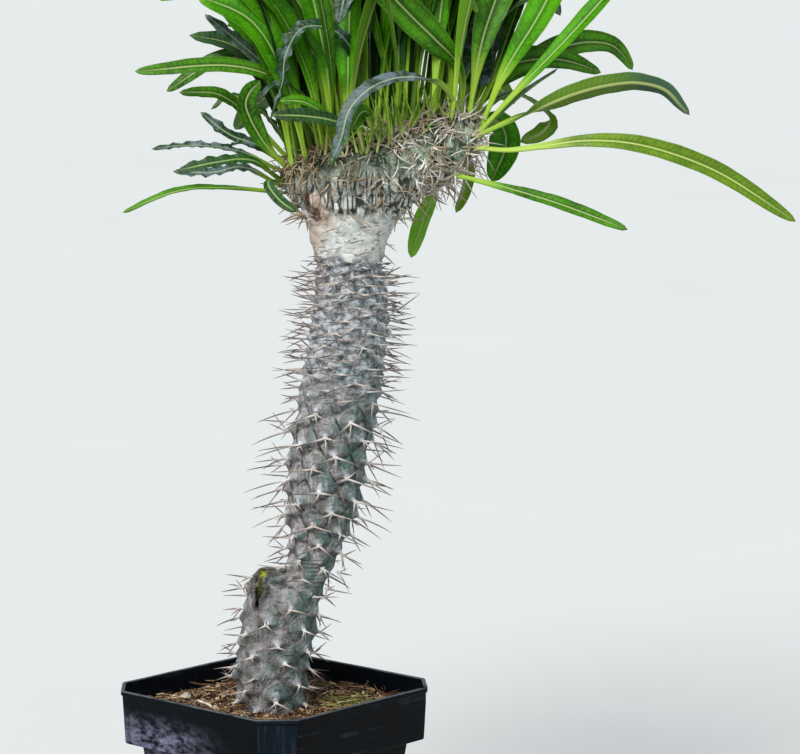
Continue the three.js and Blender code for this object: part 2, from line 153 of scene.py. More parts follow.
def resample(points: Array, count: int) -> Array:
    """A smooth line through given points, at even steps of their length.

    Args:
        points: The points that the line passes through.
        count: How many points the result has.

    Returns:
        The points of a cubic through the given ones.
    """
    steps = np.linalg.norm(np.diff(points, axis=0), axis=1)
    at = run_of(points)
    slopes = np.gradient(points, at, axis=0)
    wanted = np.linspace(0.0, at[-1], count)
    span = np.clip(np.searchsorted(at, wanted, side="right") - 1, 0, len(steps) - 1)
    t = ((wanted - at[span]) / steps[span])[:, None]
    width = steps[span][:, None]
    start, end = points[span], points[span + 1]
    lead, trail = slopes[span] * width, slopes[span + 1] * width
    return (
        (2 * t**3 - 3 * t**2 + 1) * start + (t**3 - 2 * t**2 + t) * lead
        + (3 * t**2 - 2 * t**3) * end + (t**3 - t**2) * trail
    )


def at_height(flat: Array, z: Array | float) -> Array:
    """Points of a level plane as points in space."""
    return np.column_stack([flat, np.broadcast_to(z, len(flat))])


def circle(count: int, radius: float) -> Array:
    """Even points round a circle in a level plane."""
    turn = np.linspace(0, ROUND, count, endpoint=False)
    return np.stack([np.cos(turn), np.sin(turn)], axis=1) * radius


# ------ meshes and pieces


def linked(name: str, data: bpy.types.ID) -> Thing:
    """A new object of the scene.

    Args:
        name: The object's name.
        data: The mesh, light or camera that it holds.

    Returns:
        The object.
    """
    made = bpy.data.objects.new(name, data)
    bpy.context.scene.collection.objects.link(made)
    return made


def soften(mesh: Mesh, soft: bool = True) -> None:
    """Shades every face of a mesh smoothly, or flatly."""
    mesh.polygons.foreach_set("use_smooth", [soft] * len(mesh.polygons))


def carry(mesh: Mesh, values: dict[str, Array]) -> None:
    """Stores named numbers, one for each vertex."""
    for key, numbers in values.items():
        layer = mesh.attributes.new(key, "FLOAT", "POINT")
        layer.data.foreach_set("value", np.asarray(numbers, np.float32))


def make_object(name: str, points: Array, faces: list, edges: Sequence = (),
                values: dict[str, Array] | None = None, soft: bool = True) -> Thing:
    """A mesh object at the origin.

    Args:
        name: The object's name.
        points: Its vertices in metres.
        faces: Its faces as lists of vertex numbers.
        edges: Loose edges, for a mesh that is only lines.
        values: Named numbers, one for each vertex.
        soft: Whether its faces are shaded smoothly.

    Returns:
        The object, linked to the scene.
    """
    mesh = bpy.data.meshes.new(name)
    mesh.from_pydata(points, edges, faces)
    carry(mesh, values or {})
    if soft and faces:
        soften(mesh)
    mesh.update()
    return linked(name, mesh)


def object_from(work: bmesh.types.BMesh, name: str) -> Thing:
    """An object made from a working mesh.

    Args:
        work: The working mesh, which is freed.
        name: The object's name.

    Returns:
        The object.
    """
    mesh = bpy.data.meshes.new(name)
    work.to_mesh(mesh)
    work.free()
    return linked(name, mesh)


def signed_volume(points: Array, faces: Iterable[Sequence[int]]) -> float:
    """Six times a closed body's volume.

    Args:
        points: Rows of x, y and z.
        faces: Each face's rows of points.

    Returns:
        The volume, below zero where the faces point in.
    """
    total = 0.0
    for face in faces:
        for one, two in zip(face[1:-1], face[2:]):
            total += float(np.dot(points[face[0]], np.cross(points[one], points[two])))
    return total


def loft(rings: Sequence[Array], start: Point, end: Point) -> tuple[Array, list]:
    """Skins rings of equal length and closes each end with a pole.

    Args:
        rings: The rings, each an array of points.
        start: The pole before the first ring.
        end: The pole after the last ring.

    Returns:
        The points and the faces of a closed body whose faces point out.
    """
    count = len(rings[0])
    points = np.vstack([np.array([start]), *rings, np.array([end])])
    last, final = len(points) - 1, 1 + (len(rings) - 1) * count
    around = [(i, (i + 1) % count) for i in range(count)]
    faces: list = []
    for i, j in around:
        faces += [(0, 1 + j, 1 + i), (last, final + i, final + j)]
    for low in range(1, final, count):
        faces += [(low + i, low + j, low + count + j, low + count + i) for i, j in around]
    if signed_volume(points, faces) < 0:
        faces = [face[::-1] for face in faces]
    return points, faces


def settle(piece: Thing) -> Thing:
    """Turns what a piece's modifiers make into its plain mesh and removes them.

    Args:
        piece: The piece with its modifiers.

    Returns:
        The same piece.
    """
    bpy.context.view_layer.update()
    depsgraph = bpy.context.evaluated_depsgraph_get()
    mesh = bpy.data.meshes.new_from_object(piece.evaluated_get(depsgraph), preserve_all_data_layers=True,
                                           depsgraph=depsgraph)
    mesh.name = piece.name
    piece.modifiers.clear()
    piece.data = mesh
    return piece


def vertex_rows(mesh: Mesh, key: str = "co") -> Array:
    """Three numbers for each of a mesh's vertices.

    Args:
        mesh: The mesh.
        key: "co" for the vertices' places, "normal" for their normals.

    Returns:
        A row for each vertex.
    """
    numbers = np.empty(len(mesh.vertices) * 3, np.float32)
    mesh.vertices.foreach_get(key, numbers)
    return numbers.reshape(-1, 3).astype(float)


def move_vertices(mesh: Mesh, points: Array) -> None:
    """Moves a mesh's vertices to the given rows."""
    mesh.vertices.foreach_set("co", points.astype(np.float32).ravel())
    mesh.update()


def dress(piece: Thing, material: Material) -> Thing:
    """Gives a piece one material.

    Args:
        piece: The piece.
        material: Its material.

    Returns:
        The same piece.
    """
    piece.data.materials.clear()
    piece.data.materials.append(material)
    return piece


def register(piece: Thing, slot: str, *nodes: str) -> Thing:
    """Puts a finished piece on the frame.

    Args:
        piece: The finished object.
        slot: The record's material slot; not used.
        nodes: The CAD nodes that it stands for.

    Returns:
        The same object.
    """
    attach(piece, BODY)
    if nodes:
        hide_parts(*nodes)
    corners = sum(len(face.vertices) - 2 for face in piece.data.polygons)
    LOG.info("%s: %d triangles, stands for %s", piece.name, corners, nodes or "no node")
    return piece


def discard(pieces: Iterable[Thing]) -> None:
    """Removes helper objects."""
    for piece in list(pieces):
        bpy.data.objects.remove(piece)


# ------ node trees

FLOAT, VECTOR, COLOUR = "NodeSocketFloat", "NodeSocketVector", "NodeSocketColor"
GEOMETRY, MATERIAL = "NodeSocketGeometry", "NodeSocketMaterial"
WHOLE, TEXT, COLLECTION = "NodeSocketInt", "NodeSocketString", "NodeSocketCollection"
SHADING, SHAPING = "ShaderNodeTree", "GeometryNodeTree"


class Graph:
    """Short calls that add nodes to one tree and join them; `at` is the place that patterns read."""

    def __init__(self, tree: bpy.types.NodeTree, at: Socket | None = None) -> None:
        """Holds the tree that the nodes go to."""
        self.tree = tree
        self.at = at

    def feed(self, socket: Socket, value: Any) -> None:
        """Links a socket, or sets its constant."""
        if isinstance(value, Socket):
            self.tree.links.new(value, socket)
        else:
            socket.default_value = value

    def node(self, kind: str, inputs: dict | None = None, **settings: Any) -> bpy.types.Node:
        """Adds a node.

        Args:
            kind: The node's type name.
            inputs: Input names or numbers with their links or constants.
            settings: The node's own properties.

        Returns:
            The node.
        """
        made = self.tree.nodes.new(kind)
        for name, value in settings.items():
            setattr(made, name, value)
        for name, value in (inputs or {}).items():
            self.feed(made.inputs[name], value)
        return made

    def result(self, kind: str, inputs: dict | None = None, output: int | str = 0, **settings: Any) -> Socket:
        """One output of a new node."""
        return self.node(kind, inputs, **settings).outputs[output]

    def math(self, operation: str, first: Any, second: Any = 0.0, clamp: bool = False) -> Socket:
        """The result of one sum."""
        return self.result("ShaderNodeMath", {0: first, 1: second}, operation=operation, use_clamp=clamp)

    def times(self, *factors: Any) -> Socket:
        """The product of the factors."""
        return reduce(lambda one, two: self.math("MULTIPLY", one, two), factors)

    def plus(self, *terms: Any) -> Socket:
        """The terms added up."""
        return reduce(lambda one, two: self.math("ADD", one, two), terms)

    def vector(self, operation: str, first: Any, second: Any = (0.0, 0.0, 0.0)) -> Socket:
        """The result of one vector sum."""
        return self.result("ShaderNodeVectorMath", {0: first, 1: second}, operation=operation)

    def scaled(self, vector: Any, scale: Any) -> Socket:
        """A vector made longer or shorter."""
        return self.result("ShaderNodeVectorMath", {0: vector, "Scale": scale}, operation="SCALE")

    def step(self, value: Any, low: Any, high: Any, to_low: Any = 0.0, to_high: Any = 1.0) -> Socket:
        """A smooth rise from one value to another between two limits."""
        return self.result("ShaderNodeMapRange", {
            "Value": value, "From Min": low, "From Max": high, "To Min": to_low, "To Max": to_high,
        }, interpolation_type="SMOOTHSTEP")

    def blend(self, share: Any, first: Any, second: Any, mode: str = "MIX") -> Socket:
        """Two colours mixed."""
        inputs = {0: share, 6: first, 7: second}
        return self.result("ShaderNodeMix", inputs, 2, data_type="RGBA", blend_type=mode)

    def over(self, colour: Any, layer: Any, *shares: Any) -> Socket:
        """A colour under a layer that is as thick as the product of the shares."""
        return self.blend(self.times(*shares), colour, layer)

    def noise(self, scale: Any, detail: float = 3.0, roughness: float = 0.55, at: Any = None) -> Socket:
        """Fractal noise from 0 to 1."""
        return self.result("ShaderNodeTexNoise", {
            "Vector": at or self.at, "Scale": scale, "Detail": detail, "Roughness": roughness})

    def cells(self, scale: Any, feature: str = "F1", at: Any = None) -> Socket:
        """Distance to the nearest cell's centre or edge."""
        return self.result("ShaderNodeTexVoronoi", {"Vector": at or self.at, "Scale": scale}, "Distance",
                           feature=feature)

    def attribute(self, name: str) -> Socket:
        """A number that the mesh carries."""
        return self.result("ShaderNodeAttribute", None, "Fac", attribute_name=name)

    def split(self, vector: Any) -> tuple[Socket, ...]:
        """A vector's three numbers."""
        return tuple(self.node("ShaderNodeSeparateXYZ", {0: vector}).outputs)

    def facing(self) -> tuple[Socket, ...]:
        """The three numbers of the surface's normal."""
        return self.split(self.result("ShaderNodeNewGeometry", None, "Normal"))

    def mapped(self, scale: Point = (1, 1, 1), turn: Point = (0, 0, 0), shift: Point = (0, 0, 0)) -> Socket:
        """The place shifted, turned and stretched."""
        return self.result("ShaderNodeMapping", {
            "Vector": self.at, "Scale": scale, "Rotation": turn, "Location": shift})

    def bump(self, height: Any, distance: float, strength: float = 1.0, normal: Any = None) -> Socket:
        """A normal bent by a height."""
        inputs = {"Height": height, "Distance": distance, "Strength": strength}
        return self.result("ShaderNodeBump", inputs | ({} if normal is None else {"Normal": normal}))

    def effect(self, recipe: "Recipe", *values: Any, at: Any = None) -> Socket:
        """A shared effect's node.

        Args:
            recipe: The effect.
            values: Its inputs, in their own order.
            at: The place that it is read at.

        Returns:
            The effect's first output.
        """
        made = self.node("ShaderNodeGroup", node_tree=recipe.tree)
        for socket, value in zip(made.inputs, (at or self.at, *values)):
            self.feed(socket, value)
        return made.outputs[0]

    def mottle(self, low: Any, high: Any, patches: float, flecks: float, balance: float,
               spread: float, at: Any = None) -> Socket:
        """Uneven tone between two colours."""
        return self.effect(EFFECTS.mottle, low, high, patches, flecks, balance, spread, at=at)

    def grain(self, coarse: float, fine: float, fine_share: float, at: Any = None) -> Socket:
        """The height of a fine uneven relief."""
        return self.effect(EFFECTS.grain, coarse, fine, fine_share, at=at)

    def dust(self, scale: float, amount: float, on_top: float, at: Any = None) -> Socket:
        """Where dust has settled."""
        return self.effect(EFFECTS.dust, scale, amount, on_top, at=at)

    def streaks(self, stretch: Point, threshold: float, breaks: float, turn: Point = (0, 0, 0)) -> Socket:
        """Broken lines along one direction."""
        return self.effect(EFFECTS.streaks, threshold, breaks, self.at, at=self.mapped(stretch, turn))


class Recipe(Graph):
    """A node group with named inputs and outputs."""

    def __init__(self, name: str, kind: str, inputs: dict[str, Any], outputs: dict[str, str]) -> None:
        """Makes the group.

        Args:
            name: The group's name.
            kind: The tree's type name.
            inputs: Each input's name, _ for a space, with its socket type or its default number.
            outputs: Each output's name with its socket type.
        """
        super().__init__(bpy.data.node_groups.new(name, kind))
        for label, wanted in inputs.items():
            socket_type = wanted if isinstance(wanted, str) else FLOAT if isinstance(wanted, float) else WHOLE
            item = self.tree.interface.new_socket(name=label.replace("_", " "), in_out="INPUT",
                                                  socket_type=socket_type)
            if not isinstance(wanted, str):
                item.default_value = wanted
        for label, socket_type in outputs.items():
            self.tree.interface.new_socket(name=label, in_out="OUTPUT", socket_type=socket_type)
        self.given = self.tree.nodes.new("NodeGroupInput").outputs
        self.wanted = self.tree.nodes.new("NodeGroupOutput").inputs
        self.at = self.given[0]

    def give(self, result: Any) -> "Recipe":
        """Feeds the output and hands the recipe back."""
        self.feed(self.wanted[0], result)
        return self

    def carried(self, name: Any) -> Socket:
        """A number that each point of a geometry tree's mesh carries."""
        return self.result("GeometryNodeInputNamedAttribute", {"Name": name}, data_type="FLOAT")

    def dressed(self, geometry: Socket) -> "Recipe":
        """Ends a geometry tree with real geometry in the given finish.

        Args:
            geometry: What the tree has made.

        Returns:
            The recipe itself.
        """
        plain = self.result("GeometryNodeRealizeInstances", {"Geometry": geometry})
        finish = {"Geometry": plain, "Material": self.given["Finish"]}
        return self.give(self.result("GeometryNodeSetMaterial", finish))

    def apply(self, piece: Thing, **values: Any) -> None:
        """Adds a Geometry Nodes modifier to a piece and sets its inputs.

        Args:
            piece: The object that carries the modifier.
            values: The inputs' values by their names.
        """
        modifier = piece.modifiers.new(self.tree.name, "NODES")
        modifier.node_group = self.tree
        for item in self.tree.interface.items_tree:
            if item.item_type == "SOCKET" and item.in_out == "INPUT" and item.name in values:
                modifier[item.identifier] = values[item.name]


# ------ shared surface effects


def mottle_recipe() -> Recipe:
    """Uneven tone: two colours in soft patches with fine flecks on them.

    Returns:
        The node group's recipe.
    """
    recipe = Recipe("mottled_tone", SHADING, dict(Place=VECTOR, Low=COLOUR, High=COLOUR, Patches=40.0,
                                                  Flecks=600.0, Balance=0.5, Spread=0.2), dict(Colour=COLOUR))
    _, low, high, patches, flecks, balance, spread, *_ = recipe.given
    level = recipe.plus(recipe.times(recipe.noise(patches, 4.0, 0.6), 0.7),
                        recipe.times(recipe.noise(flecks, 2.0, 0.5), 0.3))
    mask = recipe.step(level, recipe.math("SUBTRACT", balance, spread), recipe.plus(balance, spread))
    return recipe.give(recipe.blend(mask, low, high))


def grain_recipe() -> Recipe:
    """A fine uneven relief, from 0 to 1.

    Returns:
        The node group's recipe.
    """
    recipe = Recipe("fine_grain", SHADING, dict(Place=VECTOR, Coarse=200.0, Fine=900.0, Fine_Share=0.4),
                    dict(Height=FLOAT))
    _, coarse, fine, share, *_ = recipe.given
    rest = recipe.math("SUBTRACT", 1.0, share)
    return recipe.give(recipe.plus(recipe.times(recipe.noise(coarse), rest),
                                   recipe.times(recipe.noise(fine, 2.0), share)))


def dust_recipe() -> Recipe:
    """Where pale dust has settled: more on faces that look up, in broken patches.

    Returns:
        The node group's recipe.
    """
    recipe = Recipe("settled_dust", SHADING, dict(Place=VECTOR, Scale=60.0, Amount=0.3, On_Top=0.3),
                    dict(Mask=FLOAT))
    _, scale, amount, on_top, *_ = recipe.given
    top = recipe.times(recipe.math("MAXIMUM", recipe.facing()[2], 0.0), on_top)
    return recipe.give(recipe.step(recipe.plus(recipe.noise(scale, 5.0, 0.65), top, amount), 0.75, 1.15))


def streak_recipe() -> Recipe:
    """Thin scratches or runs along one direction of already stretched coordinates.

    Returns:
        The node group's recipe.
    """
    recipe = Recipe("thin_streaks", SHADING, dict(Place=VECTOR, Threshold=0.62, Breaks=20.0,
                                                  Unstretched=VECTOR), dict(Mask=FLOAT))
    _, threshold, breaks, unstretched, *_ = recipe.given
    mask = recipe.step(recipe.noise(1.0, 1.0), threshold, recipe.plus(threshold, 0.06))
    broken = recipe.step(recipe.noise(breaks, 2.0, at=unstretched), 0.42, 0.6)
    return recipe.give(recipe.times(mask, broken))


@dataclass(frozen=True)
class Effects:
    """The effects that several finishes share."""

    mottle: Recipe = field(default_factory=mottle_recipe)
    grain: Recipe = field(default_factory=grain_recipe)
    dust: Recipe = field(default_factory=dust_recipe)
    streaks: Recipe = field(default_factory=streak_recipe)


EFFECTS = Effects()


# ------ finishes


class Zone(Enum):
    """The bands of the stem, by how their tubercles and spines grow."""

    TRUNK = "trunk"
    RINGS = "rings"
    COLLAR = "collar"
    NECK = "neck"
    CREST = "crest"


@dataclass(frozen=True)
class Finish:
    """A surface finish: its name and what its Principled shader holds all over."""

    name: str
    roughness: float = 0.6
    specular: float = 0.5

    def build(self) -> Material:
        """Makes the material.

        Returns:
            The material.
        """
        material = bpy.data.materials.new(self.name)
        material.use_nodes = True
        graph = Graph(material.node_tree)
        graph.at = graph.result("ShaderNodeTexCoord", None, "Object")
        inputs = material.node_tree.nodes["Principled BSDF"].inputs
        held = {"Roughness": self.roughness, "Specular IOR Level": self.specular}
        for name, value in (held | self.paint(graph)).items():
            graph.feed(inputs[name], value)
        return material

    def paint(self, graph: Graph) -> dict[str, Socket]:
        """The shader's inputs that change over the surface.

        Args:
            graph: The material's tree.

        Returns:
            What feeds each input, by the input's name.
        """
        raise NotImplementedError


@dataclass(frozen=True)
class PotPlastic(Finish):
    """Near-black moulded plastic, dusty low on its left collar face and scratched on the right, with a painted
    reflection on its front corner face and a painted highlight along its lip.
    """

    deep: Colour = tint(3, 6, 10)
    blotched: Colour = tint(9, 16, 26)
    dust: Colour = tint(160, 162, 192)
    # Painted highlight along the lip's rounded edge.
    edge: Colour = tint(120, 128, 130)
    scratch: Colour = tint(70, 76, 92)
    # Painted reflection on the front corner face.
    painted_reflection: Colour = tint(20, 32, 44)

    def paint(self, graph: Graph) -> dict[str, Socket]:
        """Builds this finish's own nodes.

        Args:
            graph: The material's nodes.

        Returns:
            What feeds the shader, by the name of its input.
        """
        x, y, z = graph.split(graph.at)
        out_x, out_y, out_z = graph.facing()
        west, south = (graph.step(graph.times(out, -1.0), 0.3, 0.6) for out in (out_x, out_y))
        corner_face = graph.step(graph.times(out_y, -1.0), 0.85, 0.97)
        # Dust sits in the lower half of the collar, thickest a third of the way from the left corner.
        along = graph.math("ABSOLUTE", graph.plus(graph.math("SUBTRACT", x, y), 0.05))
        low_band = graph.times(graph.step(z, 0.132, 0.113), graph.step(along, 0.1, 0.02),
                               graph.step(z, 0.08, 0.106, 0.2, 1.0))
        dusty = graph.times(graph.dust(150.0, 0.4, 0.0, at=graph.mapped((1, 1, 1.6))), low_band, west, south)
        slant = (0, math.radians(24), math.radians(-45))
        scratches = graph.streaks((14, 14, 520), 0.6, 38.0, slant)
        scuffed = graph.times(scratches, graph.step(out_x, 0.3, 0.6), south)
        streaked = graph.times(graph.streaks((420, 420, 7), 0.52, 25.0), corner_face)
        colour = graph.mottle(self.deep, self.blotched, 22.0, 260.0, 0.56, 0.2)
        colour = graph.over(colour, self.dust, graph.dust(34.0, 0.12, 0.35), 0.07)
        # Painted reflection of the sky on the front cut corner's face.
        colour = graph.over(colour, self.painted_reflection, corner_face, 0.5)
        colour = graph.over(colour, self.scratch, streaked, 0.16)
        colour = graph.over(colour, self.scratch, scuffed, 0.3)
        colour = graph.over(colour, self.dust, dusty, 0.66)
        # Painted highlight: a thin pale line along the lip's rounded edge, broken in places.
        rounded = graph.step(out_z, 0.99, 0.9, 0.3, 1.0)
        lip_highlight_breaks = graph.step(graph.noise(90.0), 0.3, 0.6, 0.2, 0.6)
        colour = graph.over(colour, self.edge, graph.step(z, 0.1392, 0.1399), rounded, lip_highlight_breaks)
        rough = graph.math("ADD", graph.step(graph.noise(45.0), 0.3, 0.7, 0.3, 0.46),
                           graph.times(dusty, 0.4), clamp=True)
        swell = graph.bump(graph.noise(26.0, 1.0), 0.0012)
        return {"Base Color": colour, "Roughness": graph.plus(rough, graph.times(scuffed, 0.15)),
                "Normal": graph.bump(graph.grain(160.0, 1500.0, 0.35), 0.00012, normal=swell)}


@dataclass(frozen=True)
class CrumbFinish(Finish):
    """Bark, peat and fibre: each crumb has a tone of its own between dark and light."""

    dark: Colour = tint(34, 24, 18)
    middle: Colour = tint(104, 68, 44)
    light: Colour = tint(190, 152, 112)
    relief: float = 0.0003

    def paint(self, graph: Graph) -> dict[str, Socket]:
        """Builds this finish's own nodes.

        Args:
            graph: The material's nodes.

        Returns:
            What feeds the shader, by the name of its input.
        """
        tone = graph.attribute("tone")
        base = graph.over(self.dark, self.middle, graph.step(tone, 0.0, 0.55))
        base = graph.over(base, self.light, graph.step(tone, 0.6, 1.0))
        patchy = graph.mottle(tint(118, 112, 106), tint(255, 250, 244), 190.0, 1400.0, 0.48, 0.22)
        grain = graph.grain(500.0, 1800.0, 0.4, at=graph.mapped((1, 3, 1)))
        return {"Base Color": graph.blend(1.0, base, patchy, "MULTIPLY"),
                "Normal": graph.bump(grain, self.relief)}


@dataclass(frozen=True)
class StoneFinish(Finish):
    """Porous pumice, pale and pitted."""

    low: Colour = tint(150, 140, 118)
    high: Colour = tint(214, 206, 188)
    deep: Colour = tint(104, 92, 74)

    def paint(self, graph: Graph) -> dict[str, Socket]:
        """Builds this finish's own nodes.

        Args:
            graph: The material's nodes.

        Returns:
            What feeds the shader, by the name of its input.
        """
        pits = graph.step(graph.cells(900.0), 0.2, 0.42)
        tone = graph.mottle(self.low, self.high, 240.0, 1600.0, 0.46, 0.16)
        return {"Base Color": graph.over(tone, self.deep, graph.math("SUBTRACT", 1.0, pits)),
                "Normal": graph.bump(pits, 0.0004)}


@dataclass(frozen=True)
class StemSkin(Finish):
    """Silvery succulent bark over green: taupe cushions with painted shade in their creases and beneath each
    areole, and pale areoles.
    """

    taupe: Colour = tint(164, 159, 159)
    shade: Colour = tint(108, 107, 104)
    green: Colour = tint(88, 122, 117)
    frost: Colour = tint(214, 220, 230)
    crease: Colour = tint(34, 40, 38)
    areole: Colour = tint(230, 226, 232)
    cream: Colour = tint(252, 248, 238)
    mist: Colour = tint(208, 220, 220)
    rust: Colour = tint(92, 48, 24)
    blush: Colour = tint(212, 180, 162)
    moss: Colour = tint(160, 168, 26)
    sap: Colour = tint(62, 72, 30)
    cavity_shade: Colour = tint(16, 15, 8)
    # Each band of the stem with how strong the painted shade in its creases is and how pale its areoles.
    relief: tuple = ((Zone.TRUNK, 0.95, 1.0), (Zone.RINGS, 0.55, 1.0),
                     (Zone.NECK, 0.25, 0.0), (Zone.CREST, 0.6, 0.0))

    def paint(self, graph: Graph) -> dict[str, Socket]:
        """Builds this finish's own nodes.

        Args:
            graph: The material's nodes.

        Returns:
            What feeds the shader, by the name of its input.
        """
        height, reach = graph.split(graph.at)[2], graph.attribute("field")
        crease_shade, spined = (
            graph.plus(*(graph.times(graph.attribute(row[0].value), row[column]) for row in self.relief))
            for column in (1, 2))
        crease_shade = graph.times(crease_shade, graph.step(height, 0.19, 0.215, 0.55, 1.0))
        colour = self.neck(graph, height, self.bark(graph, height))
        cracks = graph.streaks((120, 120, 560), 0.56, 150.0)
        colour = graph.over(colour, self.crease, cracks, graph.step(height, 0.442, 0.434, 0.1, 0.55))
        # Painted shade in the creases between the cushions, broken in patches.
        blotched = graph.times(graph.step(graph.noise(210.0), 0.35, 0.6, 0.25, 1.0), crease_shade)
        frayed = graph.plus(reach, graph.times(graph.noise(330.0), 0.16))
        colour = graph.over(colour, self.crease, graph.step(frayed, 0.94, 1.05), blotched)
        # Painted shade beneath each areole, where its cushion overhangs.
        under = graph.times(graph.step(graph.attribute("lower"), 0.1, 0.5), graph.step(reach, 1.0, 0.6))
        colour = graph.over(colour, self.crease, under, blotched, 0.55)
        # A pale halo of wax lies round each areole, and the areole itself is paler still.
        hazy = graph.step(graph.noise(260.0, 4.0), 0.4, 0.62, 0.1, 0.6)
        colour = graph.over(colour, self.frost, graph.step(reach, 0.6, 0.15), spined, hazy)
        colour = graph.over(colour, self.areole, graph.step(reach, 0.24, 0.08), spined, 0.8)
        colour = self.scars(graph, height, colour)
        wrinkles = graph.grain(480.0, 1500.0, 0.45, at=graph.mapped((1, 1, 0.6)))
        # Growth lines run round each areole, and level folds cross the waist above the stump.
        shift = graph.times(graph.noise(160.0), 9.0)
        lines = graph.math("SINE", graph.plus(graph.times(reach, 30.0), shift))
        folds = graph.times(graph.math("SINE", graph.plus(graph.times(height, 2600.0), shift)), 1.8)
        waist = graph.times(graph.step(height, 0.198, 0.206), graph.step(height, 0.226, 0.216))
        ripple = graph.result("ShaderNodeMix", {0: waist, 2: lines, 3: folds})
        broken = graph.math("SUBTRACT", graph.step(graph.noise(240.0), 0.35, 0.6),
                            graph.attribute(Zone.NECK.value), clamp=True)
        relief = graph.bump(graph.times(ripple, broken), 0.00026, 0.8)
        return {"Base Color": colour, "Normal": graph.bump(wrinkles, 0.001, normal=relief)}

    def bark(self, graph: Graph, height: Socket) -> Socket:
        """The trunk's tone: taupe in patches, greener away from the sun, with painted shade on the lower
        stump's west side.

        Args:
            graph: The material's tree.
            height: The point's height.

        Returns:
            The colour.
        """
        side = graph.facing()[0]
        patches = graph.noise(90.0, 5.0, 0.65, at=graph.mapped(shift=(0.3, 0.1, 0.2)))
        greener = graph.step(graph.plus(patches, graph.times(side, 0.16)), 0.44, 0.62)
        colour = graph.mottle(self.shade, self.taupe, 130.0, 900.0, 0.49, 0.1)
        colour = graph.over(colour, self.green, greener, 0.75)
        colour = graph.over(colour, self.areole, graph.streaks((520, 520, 110), 0.55, 110.0), 0.28)
        frosted = graph.step(graph.noise(320.0), 0.38, 0.58)
        colour = graph.over(colour, self.frost, frosted, graph.step(height, 0.3, 0.36), 0.82)
        # Painted shade: the stump below the waist is darker on its west side, which faces the sun.
        dulled = graph.step(side, 0.2, -0.7, 0.15, 0.5)
        colour = graph.over(colour, self.shade, graph.step(height, 0.215, 0.19), dulled)
        return graph.over(colour, tint(70, 62, 58), graph.step(graph.noise(800.0, 2.0), 0.58, 0.7), 0.35)

    def neck(self, graph: Graph, height: Socket, colour: Socket) -> Socket:
        """The pale waxy band under the crest and the misty crest itself.

        Args:
            graph: The material's tree.
            height: The point's height.
            colour: The trunk's tone.

        Returns:
            The colour with both bands on it.
        """
        edge = graph.plus(height, graph.times(graph.noise(110.0), 0.012))
        aside = graph.plus(graph.split(graph.at)[0], graph.times(graph.noise(90.0), 0.02))
        band = graph.times(graph.step(edge, 0.408, 0.416), graph.step(edge, 0.458, 0.448))
        pale = graph.mottle(self.mist, self.cream, 210.0, 800.0, 0.5, 0.12, at=graph.mapped((1, 1, 1.8)))
        colour = graph.over(colour, pale, band, 0.95)
        pits = graph.step(graph.noise(230.0, 4.0, at=graph.mapped((1, 1, 2.4))), 0.57, 0.68)
        colour = graph.over(colour, tint(96, 92, 82), band, pits, 0.6)
        high = graph.times(graph.step(height, 0.36, 0.4), graph.step(height, 0.455, 0.44))
        colour = graph.over(colour, tint(178, 146, 130), graph.step(aside, 0.048, 0.034), high, 0.5)
        ring = graph.times(graph.step(edge, 0.394, 0.402), graph.step(edge, 0.416, 0.408))
        colour = graph.over(colour, tint(52, 46, 44), ring, graph.step(graph.noise(330.0), 0.42, 0.56), 0.5)
        crest = graph.step(edge, 0.45, 0.46)
        misty = graph.mottle(tint(44, 56, 36), tint(196, 217, 193), 110.0, 520.0, 0.48, 0.08)
        colour = graph.over(colour, misty, crest)
        hollows = graph.step(graph.noise(150.0, 4.0, at=graph.mapped(shift=(0.2, 0.1, 0.4))), 0.5, 0.6)
        colour = graph.over(colour, tint(34, 44, 26), hollows, crest, 0.6)
        colour = graph.over(colour, tint(64, 68, 42), crest, graph.step(aside, 0.062, 0.03, 0.15, 0.75))
        # Upright pale ribs stand where the neck widens into the crest, with painted shade in the gaps between
        # them.
        flare = graph.times(graph.step(edge, 0.435, 0.441), graph.step(height, 0.464, 0.455),
                            graph.step(graph.noise(150.0), 0.34, 0.5, 0.3, 1.0))
        colour = graph.over(colour, tint(226, 230, 220), flare, 0.65)
        ribs = graph.cells(230.0, "DISTANCE_TO_EDGE", graph.mapped((1, 1, 0.1)))
        colour = graph.over(colour, tint(28, 32, 24), graph.step(ribs, 0.15, 0.07), flare, 0.9)
        # The crest climbs to the right, and so does a dark green band along its top.
        climbed = graph.math("SUBTRACT", edge, graph.times(aside, 0.35))
        return graph.over(colour, tint(28, 42, 12), graph.step(climbed, 0.4425, 0.4575), 0.9)

    def scars(self, graph: Graph, height: Socket, colour: Socket) -> Socket:
        """The torn slit in the stump and the peeled scar at the left of the neck.

        Args:
            graph: The material's tree.
            height: The point's height.
            colour: The skin's colour so far.

        Returns:
            The colour with both scars on it.
        """
        colour = graph.over(colour, tint(62, 48, 36), graph.attribute("rim"), 0.75)
        # The slit's flesh, darker towards the bottom: painted shade near black in the depth of the cavity,
        # olive above it and moss green in patches at the top.
        flesh = graph.over(self.cavity_shade, self.sap, graph.step(height, 0.196, 0.204))
        live = graph.step(graph.noise(330.0, 2.0), 0.38, 0.55)
        flesh = graph.over(flesh, self.moss, graph.step(height, 0.208, 0.2112), live)
        colour = graph.over(colour, flesh, graph.attribute("slit"))
        # Painted highlight: a pale lit edge along the slit's upper left side.
        colour = graph.over(colour, self.blush, graph.attribute("torn"), 0.8)
        colour = graph.over(colour, self.blush, graph.attribute("peeled"), 0.6)
        fibres = graph.step(graph.noise(150.0, at=graph.mapped((6, 6, 1))), 0.35, 0.6, 0.5, 1.0)
        return graph.over(colour, self.rust, graph.attribute("core"), fibres)


